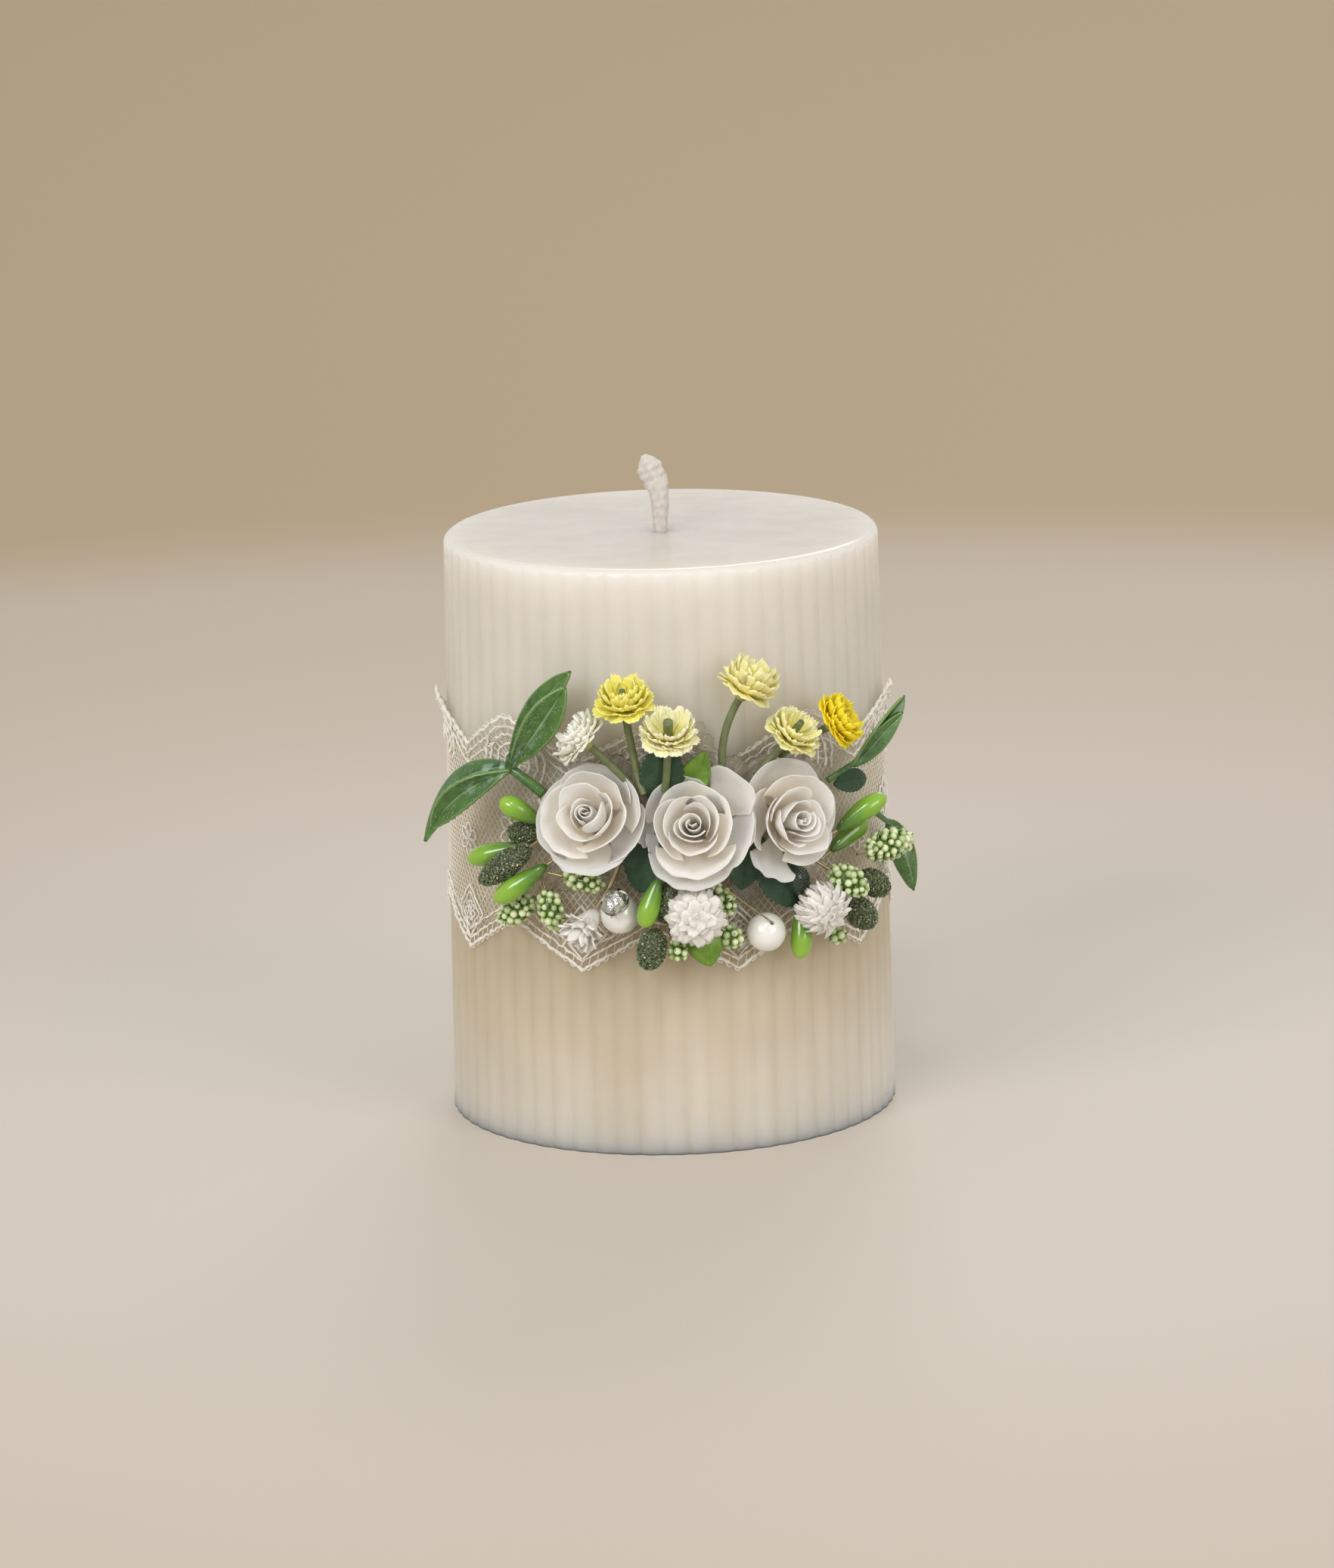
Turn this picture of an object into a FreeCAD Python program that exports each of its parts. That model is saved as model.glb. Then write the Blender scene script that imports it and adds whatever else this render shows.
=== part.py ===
"""Unity candle: a reeded pillar candle dressed with a lace band and a glued spray of flowers.

The frame is +Z up. The origin is the centre of the wax base, where the candle stands, and the
spray faces -Y. Places on the candle are given as an angle round it (0 at the front, positive
towards +X), a height above the base and a reach, which is the distance from the candle's axis.
Every length is in millimetres and every angle in degrees.
"""
import FreeCAD, Part
import math
import os

import Sketcher
from FreeCAD import Placement, Rotation, Vector

# ---------------------------------------------------------------- driving dimensions
SIZES = {
    # wax pillar
    "CandleHeight": 100.0,
    "BaseRadius": 38.3,
    "TopRadius": 37.0,
    "ReedCount": 60,
    "ReedDepth": 0.25,
    "ReedHalfAngle": 2.86,
    "RimRound": 1.4,
    "PoolRadius": 7.0,
    "PoolDepth": 0.45,
    # wick and its tab
    "WickRadius": 1.4,
    "WickHoleRadius": 1.6,
    "WickStraight": 104.5,
    "WickBend": 12.0,
    "WickTurn": 24.0,
    "WickHeadLong": 2.6,
    "WickHeadWide": 2.3,
    "WickHeadFlat": 1.3,
    "TabRadius": 9.5,
    "TabThickness": 0.4,
    "TabNeckRadius": 2.0,
    "TabNeckHeight": 6.0,
    "TabRecess": 0.5,
    # lace band, wound once round the wax and lapped at the back
    "LaceThickness": 0.5,
    "LaceGap": 0.05,
    "LaceLow": 31.5,
    "LaceHigh": 75.0,
    "LaceNotchDepth": 8.0,
    "LaceRepeats": 9,
    "LacePhase": -24.0,
    "LaceLapAngle": 13.0,
    "SeamGlueRadius": 0.7,
    "SeamGlueHeight": 30.0,
    # hot-melt glue under the spray
    "GlueThickness": 2.0,
    "GlueLow": 46.5,
    "GlueHigh": 66.0,
    "GlueAngle": 78.0,
    "GlueStart": -36.0,
    # paper roses
    "RoseRadius": 8.2,
    "RoseDepth": 10.0,
    "HeartRadius": 3.6,
    "HeartDepth": 8.2,
    # small plastic flowers
    "YellowRadius": 5.1,
    "YellowDepth": 4.6,
    "YellowStemRadius": 0.65,
    "YellowBoreRadius": 0.7,
    "YellowStub": 3.4,
    "WhiteRadius": 4.9,
    "WhiteDepth": 5.4,
    "WhiteStemRadius": 0.4,
    # leaves
    "LeafThickness": 0.8,
    "SprigLeafLength": 19.0,
    "SprigLeafWidth": 5.4,
    "SprigLeafBow": 3.6,
    "SlimLeafLength": 14.0,
    "SlimLeafWidth": 4.2,
    "SprigStemRadius": 0.8,
    "FabricLeafThickness": 0.3,
    "FabricLeafLength": 12.0,
    "FabricLeafWidth": 7.0,
    "BractLength": 7.0,
    "BractWidth": 4.0,
    # dipped buds, sugared pods, seed heads
    "BudTipRadius": 1.85,
    "BudRootRadius": 1.1,
    "WireRadius": 0.25,
    # beads
    "PearlRadius": 3.3,
    "BeadBoreRadius": 0.4,
    "CrystalLong": 2.6,
    "CrystalWide": 2.0,
}

# Flower and leaf places. Each end is (angle, height, reach).
ROSES = {  # back of the rose, then the azimuth and elevation that it faces, and its share of size
    "left": ((-16.5, 57.5, 42.2), -15.0, 25.0, 1.0),
    "centre": ((6.6, 56.5, 42.2), -4.0, 22.0, 0.98),
    "right": ((26.4, 57.6, 41.4), 27.0, 12.0, 0.9),
}
YELLOW_FLOWERS = {  # base of the head, facing azimuth and elevation, root of the stem
    "pale_left": ((-16.6, 71.9, 44.5), -88.0, 42.0, (-7.9, 65.0, 43.2)),
    "bright_left": ((-8.6, 77.5, 43.8), -15.0, 68.0, (-5.3, 63.5, 43.4)),
    "pale_middle": ((0.4, 73.0, 46.0), 3.0, 62.0, (-0.5, 64.0, 43.4)),
    "pale_tall": ((16.6, 79.2, 43.5), 90.0, 58.0, (13.0, 65.2, 42.2)),
    "bright_right": ((26.8, 71.5, 44.5), 55.0, 48.0, (20.5, 65.4, 42.0)),
    "deep_right": ((37.6, 72.4, 44.2), 80.0, 30.0, (26.4, 68.5, 42.5)),
}
WHITE_FLOWERS = {  # base, facing azimuth and elevation, share of radius and share of depth
    "left": ((-16.6, 43.5, 43.5), -54.0, -45.0, 0.8, 1.2),
    "centre": ((5.3, 43.2, 44.0), 4.0, 2.0, 1.0, 0.85),
    "right": ((33.2, 42.8, 43.4), 42.0, -20.0, 0.84, 1.0),
}
WHITE_STEM = ((-11.0, 52.0, 41.4), (-13.6, 47.4, 42.8), (-16.2, 44.2, 43.4))
BUDS = {  # centre of the root end, centre of the tip end
    "left_upper": ((-30.5, 58.5, 43.2), (-35.4, 60.9, 45.3)),
    "left_middle": ((-37.0, 53.0, 42.0), (-45.5, 50.8, 44.8)),
    "left_lower": ((-28.9, 50.3, 43.8), (-36.4, 45.7, 46.8)),
    "middle": ((-2.5, 48.9, 45.0), (-4.9, 43.2, 45.8)),
    "right_upper": ((42.5, 54.5, 43.0), (50.5, 58.0, 45.5)),
    "right_hidden": ((42.5, 50.6, 41.2), (50.0, 53.4, 42.0)),
    "right_lower": ((31.6, 41.6, 41.5), (30.4, 35.0, 42.6)),
}
PODS = {  # ends of the long axis, thickness across it
    "left_upper": ((-31.5, 56.0, 41.6), (-39.0, 55.3, 42.6), 3.4),
    "left_lower": ((-31.0, 54.0, 45.0), (-42.0, 47.4, 47.0), 4.3),
    "middle_upper": ((1.0, 48.8, 43.2), (-1.6, 41.8, 43.4), 4.0),
    "middle_lower": ((-3.0, 40.6, 43.8), (-5.4, 34.0, 44.2), 4.8),
    "right_upper": ((47.5, 45.4, 43.6), (55.0, 41.8, 44.6), 4.4),
    "right_lower": ((43.8, 41.6, 43.4), (49.8, 36.6, 44.4), 4.8),
}
SEED_HEADS = {  # ends of the long axis, thickness across it
    "left_outer": ((-32.2, 44.4, 42.2), (-41.4, 40.0, 43.2), 4.6),
    "left_inner": ((-28.9, 46.6, 43.0), (-25.8, 40.0, 43.8), 4.2),
    "under_left_rose": ((-24.5, 49.0, 42.8), (-14.5, 47.6, 42.8), 3.4),
    "middle_upper": ((9.6, 47.6, 42.6), (14.2, 42.6, 43.0), 3.6),
    "middle_lower": ((11.8, 40.3, 42.4), (15.2, 36.6, 42.8), 3.8),
    "middle_end": ((0.4, 38.8, 43.4), (2.4, 35.2, 43.8), 3.4),
    "right_upper": ((46.0, 50.2, 46.0), (61.0, 50.0, 46.6), 5.2),
    "right_middle": ((36.8, 48.2, 44.4), (43.5, 43.8, 48.0), 5.0),
    "right_lower": ((39.4, 36.6, 41.8), (44.2, 34.6, 42.0), 3.2),
}
PEARLS = {"left": (-11.4, 42.9, 42.4), "right": (22.1, 38.6, 42.3)}
CRYSTALS = {  # ends of the long axis
    "left": ((-12.8, 44.9, 47.0), (-9.6, 47.3, 47.2)),
    "right": ((29.4, 49.2, 42.8), (30.2, 44.4, 43.2)),
}
FABRIC_LEAVES = {  # root, tip, and how far the leaf's face turns about its own length
    "stalk": ((-1.4, 61.8, 41.4), (0.0, 73.0, 42.2), 0.0),
    "left": ((-4.0, 58.0, 41.2), (-5.6, 47.6, 42.6), 0.0),
    "middle": ((17.0, 58.0, 41.2), (16.4, 46.6, 41.6), 0.0),
    "right": ((21.0, 50.8, 41.0), (29.4, 42.8, 40.4), 0.0),
    "right_outer": ((42.0, 61.6, 41.2), (55.0, 60.4, 41.4), 10.0),
}
BRACTS = {
    "upper": ((2.8, 64.2, 41.2), (8.6, 69.2, 41.2), 0.0),
    "lower": ((4.2, 40.6, 41.0), (8.6, 34.6, 42.4), 0.0),
}

doc = FreeCAD.newDocument("UnityCandle")
sheet = doc.addObject("Spreadsheet::Sheet", "Sizes")
for row, (alias, size) in enumerate(SIZES.items(), start=1):
    sheet.set(f"A{row}", alias)
    sheet.set(f"B{row}", str(size))
    sheet.setAlias(f"B{row}", alias)
doc.recompute()
nodes = {}


# ---------------------------------------------------------------- helpers
def size(alias):
    """The number in one cell of the sheet."""
    return float(getattr(sheet, alias))


def radial(angle):
    """Unit vector that points away from the candle's axis at that angle."""
    return Vector(math.sin(math.radians(angle)), -math.cos(math.radians(angle)), 0)


def place(angle, height, reach):
    """The point at an angle round the candle, a height and a reach."""
    return radial(angle) * reach + Vector(0, 0, height)


def heading(azimuth, elevation):
    """Unit vector of an azimuth round the candle and an elevation above the horizon."""
    flat = math.cos(math.radians(elevation))
    return radial(azimuth) * flat + Vector(0, 0, math.sin(math.radians(elevation)))


def standing(origin, up, side=None):
    """Placement that puts local Z along up and local X as near to side as it can."""
    up = Vector(up).normalize()
    if side is None:
        side = Vector(0, 0, 1) if abs(up.z) < 0.9 else Vector(1, 0, 0)
    return Placement(origin, Rotation(Vector(side), Vector(0, 0, 0), up, "ZXY"))


def bind(thing, **expressions):
    """Binds properties of an object to expressions over the sheet."""
    for name, expression in expressions.items():
        thing.setExpression(name, expression)


def keep(label, thing):
    """Names an object as one of the candle's sub-parts."""
    thing.Label = label
    nodes[label] = thing
    return thing


def body(name):
    return doc.addObject("PartDesign::Body", name)


def sketch(owner, role, name, offset=None):
    """A sketch on one of the body's own origin planes."""
    made = owner.newObject("Sketcher::SketchObject", name)
    plane = next(f for f in owner.Origin.OriginFeatures if f.Role == role)
    made.AttachmentSupport = [(plane, "")]
    made.MapMode = "FlatFace"
    if offset is not None:
        made.AttachmentOffset = offset
    return made


def pin(made, geometry, end, across, along):
    """Holds one point of a sketch at two expressions from the sketch's origin."""
    drawn = made.getPoint(geometry, end)
    for kind, value, expression in (("DistanceX", drawn.x, across), ("DistanceY", drawn.y, along)):
        number = made.addConstraint(Sketcher.Constraint(kind, -1, 1, geometry, end, value))
        made.setExpression(f"Constraints[{number}]", expression)


def set_radius(made, geometry, expression):
    """Binds the radius of an arc or circle to an expression over the sheet."""
    drawn = made.Geometry[geometry].Radius
    number = made.addConstraint(Sketcher.Constraint("Radius", geometry, drawn))
    made.setExpression(f"Constraints[{number}]", expression)


def polygon(made, corners):
    """Draws a closed outline through corners given as pairs of expressions over the sheet."""
    count = len(corners)
    turn = 2 * math.pi / count
    guess = [Vector(5 + math.cos(i * turn), 5 + math.sin(i * turn), 0) for i in range(count)]
    for i in range(count):
        made.addGeometry(Part.LineSegment(guess[i], guess[(i + 1) % count]))
    for i in range(count):
        made.addConstraint(Sketcher.Constraint("Coincident", i, 2, (i + 1) % count, 1))
    for i, (across, along) in enumerate(corners):
        pin(made, i, 1, across, along)


def circle(made, radius):
    """Draws a circle about the sketch's origin, with its radius bound to an expression."""
    made.addGeometry(Part.Circle(Vector(0, 0, 0), Vector(0, 0, 1), 1.0))
    made.addConstraint(Sketcher.Constraint("Coincident", 0, 3, -1, 1))
    set_radius(made, 0, radius)


def turned(owner, name, corners, kind="PartDesign::Revolution", angle=360.0):
    """Revolves an outline, given as (radius, height) expressions, about the body's Z axis."""
    outline = sketch(owner, "XZ_Plane", name + "Outline")
    polygon(outline, corners)
    feature = owner.newObject(kind, name)
    feature.Profile = outline
    feature.ReferenceAxis = (outline, ["V_Axis"])
    feature.Angle = angle
    return feature


def scaled(radius, depth, shares):
    """Corner expressions from shares of one radius cell and one depth cell."""
    return [(f"Sizes.{radius} * {across}", f"Sizes.{depth} * {along}") for across, along in shares]


def ball(name, radius):
    made = doc.addObject("Part::Sphere", name)
    bind(made, Radius=radius)
    return made


def egg(name, ends, thickness):
    """An ellipsoid whose long axis runs between two places."""
    root, tip = place(*ends[0]), place(*ends[1])
    made = doc.addObject("Part::Ellipsoid", name)
    made.Radius1 = (tip - root).Length / 2
    made.Radius2 = thickness / 2
    made.Radius3 = thickness / 2
    made.Placement = standing((root + tip) / 2, tip - root)
    return made


def rod(name, start, end, radius):
    """A straight round wire between two points."""
    made = doc.addObject("Part::Cylinder", name)
    bind(made, Radius=radius)
    made.Height = (end - start).Length
    made.Placement = standing(start, end - start)
    return made


def group(name, members):
    made = doc.addObject("Part::Compound", name)
    made.Links = members
    return made


def fused(name, members):
    made = doc.addObject("Part::MultiFuse", name)
    made.Shapes = members
    return made


def cut(name, base, tool):
    made = doc.addObject("Part::Cut", name)
    made.Base = base
    made.Tool = tool
    return made


# ---------------------------------------------------------------- wax pillar
def reed_section(owner, name, radius, height):
    """The bulging outline of one reed at one height, closed inside the core."""
    made = sketch(owner, "XY_Plane", name)
    bind(made, **{".AttachmentOffset.Base.z": height})
    half = math.radians(size("ReedHalfAngle"))
    crest = size("BaseRadius")
    core = crest - size("ReedDepth")
    low = Vector(core * math.cos(half), -core * math.sin(half), 0)
    high = Vector(low.x, -low.y, 0)
    inner_low = Vector(core - 2, low.y / 2, 0)
    inner_high = Vector(core - 2, high.y / 2, 0)
    made.addGeometry(Part.Arc(low, Vector(crest, 0, 0), high))
    made.addGeometry(Part.LineSegment(high, inner_high))
    made.addGeometry(Part.LineSegment(inner_high, inner_low))
    made.addGeometry(Part.LineSegment(inner_low, low))
    for first, end, second, start in ((0, 2, 1, 1), (1, 2, 2, 1), (2, 2, 3, 1), (3, 2, 0, 1)):
        made.addConstraint(Sketcher.Constraint("Coincident", first, end, second, start))
    core_is = f"({radius} - Sizes.ReedDepth)"
    across = f"({core_is} * cos(Sizes.ReedHalfAngle * 1deg))"
    along = f"({core_is} * sin(Sizes.ReedHalfAngle * 1deg))"
    pin(made, 0, 1, across, f"-{along}")
    pin(made, 0, 2, across, along)
    pin(made, 2, 1, f"{core_is} - 2", f"{along} / 2")
    pin(made, 2, 2, f"{core_is} - 2", f"-{along} / 2")
    rise = f"({radius} - {across})"
    set_radius(made, 0, f"({along}^2 + {rise}^2) / (2 * {rise})")
    return made


def make_candle_body():
    wax = body("CandleBody")
    turned(wax, "Core", [
        ("0", "0"),
        ("Sizes.BaseRadius - Sizes.ReedDepth", "0"),
        ("Sizes.TopRadius - Sizes.ReedDepth", "Sizes.CandleHeight"),
        ("0", "Sizes.CandleHeight"),
    ])
    doc.recompute()
    reed = wax.newObject("PartDesign::AdditiveLoft", "Reed")
    reed.Profile = reed_section(wax, "ReedFoot", "Sizes.BaseRadius", "0")
    reed.Sections = [reed_section(wax, "ReedHead", "Sizes.TopRadius", "Sizes.CandleHeight")]
    reed.Ruled = True
    doc.recompute()
    reeds = wax.newObject("PartDesign::PolarPattern", "Reeds")
    reeds.Originals = [reed]
    reeds.Axis = (next(f for f in wax.Origin.OriginFeatures if f.Role == "Z_Axis"), [""])
    reeds.Angle = 360
    bind(reeds, Occurrences="Sizes.ReedCount")
    wax.Tip = reeds
    doc.recompute()
    round_rim(wax)
    turned(wax, "Pool", [
        ("0", "Sizes.CandleHeight - Sizes.PoolDepth"),
        ("Sizes.PoolRadius", "Sizes.CandleHeight"),
        ("Sizes.PoolRadius", "Sizes.CandleHeight + 1"),
        ("0", "Sizes.CandleHeight + 1"),
    ], "PartDesign::Groove")
    turned(wax, "WickHole", [
        ("0", "-1"),
        ("Sizes.WickHoleRadius", "-1"),
        ("Sizes.WickHoleRadius", "Sizes.CandleHeight + 1"),
        ("0", "Sizes.CandleHeight + 1"),
    ], "PartDesign::Groove")
    turned(wax, "TabRecess", [
        ("0", "-1"),
        ("Sizes.TabRadius + 0.4", "-1"),
        ("Sizes.TabRadius + 0.4", "Sizes.TabRecess"),
        ("Sizes.TabNeckRadius + 0.2", "Sizes.TabRecess"),
        ("Sizes.TabNeckRadius + 0.2", "Sizes.TabRecess + Sizes.TabNeckHeight"),
        ("0", "Sizes.TabRecess + Sizes.TabNeckHeight"),
    ], "PartDesign::Groove")
    return keep("candle_body", wax)


def round_rim(wax):
    """Cuts the sharp top corner away outside a quarter round."""
    made = sketch(wax, "XZ_Plane", "RimOutline")
    edge, top, rim = size("TopRadius"), size("CandleHeight"), size("RimRound")
    inner, outer = Vector(edge - rim, top, 0), Vector(edge, top - rim, 0)
    slant = rim * math.sqrt(0.5)
    made.addGeometry(Part.Arc(outer, Vector(edge - rim + slant, top - rim + slant, 0), inner))
    made.addGeometry(Part.LineSegment(inner, Vector(edge - rim, top + 2, 0)))
    made.addGeometry(Part.LineSegment(Vector(edge - rim, top + 2, 0), Vector(edge + 2, top + 2, 0)))
    made.addGeometry(Part.LineSegment(Vector(edge + 2, top + 2, 0), Vector(edge + 2, top - rim, 0)))
    made.addGeometry(Part.LineSegment(Vector(edge + 2, top - rim, 0), outer))
    for i in range(5):
        made.addConstraint(Sketcher.Constraint("Coincident", i, 2, (i + 1) % 5, 1))
    pin(made, 0, 1, "Sizes.TopRadius", "Sizes.CandleHeight - Sizes.RimRound")
    pin(made, 0, 2, "Sizes.TopRadius - Sizes.RimRound", "Sizes.CandleHeight")
    pin(made, 1, 2, "Sizes.TopRadius - Sizes.RimRound", "Sizes.CandleHeight + 2")
    pin(made, 2, 2, "Sizes.TopRadius + 2", "Sizes.CandleHeight + 2")
    pin(made, 3, 2, "Sizes.TopRadius + 2", "Sizes.CandleHeight - Sizes.RimRound")
    set_radius(made, 0, "Sizes.RimRound")
    rounding = wax.newObject("PartDesign::Groove", "Rim")
    rounding.Profile = made
    rounding.ReferenceAxis = (made, ["V_Axis"])
    rounding.Angle = 360


# ---------------------------------------------------------------- wick and tab
def make_wick():
    """A cotton braid that runs the candle's height, leans over at the top and ends in a frayed head."""
    start = size("TabThickness") + 0.05
    straight, bend, turn = size("WickStraight"), size("WickBend"), math.radians(size("WickTurn"))
    strand = body("WickStrand")
    path = sketch(strand, "XZ_Plane", "WickPath")
    corner = Vector(0, straight, 0)
    middle = Vector(-bend * (1 - math.cos(turn / 2)), straight + bend * math.sin(turn / 2), 0)
    end = Vector(-bend * (1 - math.cos(turn)), straight + bend * math.sin(turn), 0)
    path.addGeometry(Part.LineSegment(Vector(0, start, 0), corner))
    path.addGeometry(Part.Arc(corner, middle, end))
    path.addConstraint(Sketcher.Constraint("Tangent", 0, 2, 1, 1))
    pin(path, 0, 1, "0", "Sizes.TabThickness + 0.05")
    pin(path, 0, 2, "0", "Sizes.WickStraight")
    set_radius(path, 1, "Sizes.WickBend")
    section = sketch(strand, "XY_Plane", "WickSection")
    bind(section, **{".AttachmentOffset.Base.z": "Sizes.TabThickness + 0.05"})
    circle(section, "Sizes.WickRadius")
    doc.recompute()
    pipe = strand.newObject("PartDesign::AdditivePipe", "WickPipe")
    pipe.Profile = section
    pipe.Spine = path
    head = doc.addObject("Part::Ellipsoid", "WickHead")
    bind(head, Radius1="Sizes.WickHeadLong", Radius2="Sizes.WickHeadWide", Radius3="Sizes.WickHeadFlat")
    lean = Vector(-math.sin(turn), 0, math.cos(turn))
    head.Placement = standing(Vector(end.x, 0, end.y) + lean * 0.9, lean, Vector(1, 0, 0))
    return keep("wick", fused("Wick", [strand, head]))


def make_wick_tab():
    """A pressed disc, flush with the foot of the wax, with a neck that grips the wick."""
    tab = body("WickTab")
    floor = "Sizes.TabThickness"
    turned(tab, "TabDisc", [
        ("0", "0"),
        ("Sizes.TabRadius", "0"),
        ("Sizes.TabRadius", floor),
        ("Sizes.TabNeckRadius", floor),
        ("Sizes.TabNeckRadius", f"{floor} + Sizes.TabNeckHeight"),
        ("Sizes.WickRadius + 0.05", f"{floor} + Sizes.TabNeckHeight"),
        ("Sizes.WickRadius + 0.05", floor),
        ("0", floor),
    ])
    return keep("wick_tab", tab)


# ---------------------------------------------------------------- lace
def wax_reach(height):
    """Radius over the reeds at a height."""
    return size("BaseRadius") + (size("TopRadius") - size("BaseRadius")) * height / size("CandleHeight")


def wax_reach_is(height):
    """The same radius as an expression over the sheet."""
    return f"(Sizes.BaseRadius + (Sizes.TopRadius - Sizes.BaseRadius) * ({height}) / Sizes.CandleHeight)"


def sleeve(low, high, inner, outer):
    """Corner expressions of a thin sleeve that follows the wax's draft."""
    return [
        (f"{wax_reach_is(low)} + {inner}", low),
        (f"{wax_reach_is(low)} + {outer}", low),
        (f"{wax_reach_is(high)} + {outer}", high),
        (f"{wax_reach_is(high)} + {inner}", high),
    ]


def notches(band, name, tip, mouth, turn):
    """Cuts one V out of the band's edge and repeats it round the band."""
    swung = Placement(Vector(0, 0, 0), Rotation(Vector(0, 1, 0), turn))
    outline = sketch(band, "XZ_Plane", name + "Outline", swung)
    half = f"({wax_reach_is('Sizes.LaceHigh')} * tan(180deg / Sizes.LaceRepeats)) * 1.04"
    polygon(outline, [("0", tip), (half, mouth), (f"-{half}", mouth)])
    one = band.newObject("PartDesign::Pocket", name)
    one.Profile = outline
    one.Length = 60
    one.Reversed = True
    doc.recompute()
    ring = band.newObject("PartDesign::PolarPattern", name + "Ring")
    ring.Originals = [one]
    ring.Axis = (next(f for f in band.Origin.OriginFeatures if f.Role == "Z_Axis"), [""])
    ring.Angle = 360
    bind(ring, Occurrences="Sizes.LaceRepeats")
    band.Tip = ring
    doc.recompute()


def make_lace():
    """A zigzag-edged band round the wax, with its outer end lapped over its start at the back."""
    band = body("LaceRing")
    outer = "Sizes.LaceGap + Sizes.LaceThickness"
    turned(band, "LaceRingTurn", sleeve("Sizes.LaceLow", "Sizes.LaceHigh", "Sizes.LaceGap", outer))
    doc.recompute()
    overshoot = 0.5
    notches(band, "TopNotch", "Sizes.LaceHigh - Sizes.LaceNotchDepth", f"Sizes.LaceHigh + {overshoot}", 0)
    notches(band, "FootNotch", "Sizes.LaceLow + Sizes.LaceNotchDepth", f"Sizes.LaceLow - {overshoot}",
            180 / size("LaceRepeats"))
    band.Placement = Placement(Vector(0, 0, 0), Rotation(Vector(0, 0, 1), size("LacePhase")))
    lap = body("LaceLap")
    turned(lap, "LaceLapTurn", sleeve(
        "Sizes.LaceLow + Sizes.LaceNotchDepth", "Sizes.LaceHigh - Sizes.LaceNotchDepth",
        f"{outer} - 0.1", f"{outer} + Sizes.LaceThickness"), angle=size("LaceLapAngle"))
    lap.Placement = Placement(Vector(0, 0, 0), Rotation(Vector(0, 0, 1), 90 - size("LaceLapAngle") / 2))
    return keep("lace_band", fused("LaceBand", [band, lap]))


def make_seam_glue():
    """The bead of hot glue that holds down the lapped end of the lace."""
    bead = doc.addObject("Part::Cylinder", "SeamGlue")
    bind(bead, Radius="Sizes.SeamGlueRadius", Height="Sizes.SeamGlueHeight")
    low = (size("LaceLow") + size("LaceHigh") - size("SeamGlueHeight")) / 2
    high = low + size("SeamGlueHeight")
    stand_off = size("LaceGap") + size("LaceThickness") + size("SeamGlueRadius") + 0.05
    angle = 180 + size("LaceLapAngle") / 2 + 1.5
    foot = place(angle, low, wax_reach(low) + stand_off)
    head = place(angle, high, wax_reach(high) + stand_off)
    bead.Placement = standing(foot, head - foot)
    return keep("lace_seam_glue", bead)


# ---------------------------------------------------------------- flowers
def make_rose(side, back, azimuth, elevation, share):
    """A cup of paper petals round a rolled heart."""
    seat = standing(place(*back), heading(azimuth, elevation))
    cup = body(f"RosePetals_{side}")
    turned(cup, f"RosePetalsTurn_{side}", scaled("RoseRadius", "RoseDepth", [
        (0.07, 0.0), (0.4 * share, 0.0), (0.86 * share, 0.36), (share, 0.72), (0.97 * share, 0.98),
        (0.84 * share, 0.98), (0.68 * share, 0.6), (0.48, 0.24), (0.07, 0.18),
    ]))
    cup.Placement = seat
    keep(f"rose_{side}_petals", cup)
    heart = body(f"RoseHeart_{side}")
    turned(heart, f"RoseHeartTurn_{side}", scaled("HeartRadius", "HeartDepth", [
        (0.0, 0.0), (0.55, 0.02), (0.95, 0.35), (1.0, 0.7), (0.72, 1.0), (0.0, 1.0),
    ]))
    heart.Placement = seat.multiply(Placement(Vector(0, 0, 0.24 * size("RoseDepth")), Rotation()))
    keep(f"rose_{side}_heart", heart)


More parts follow.
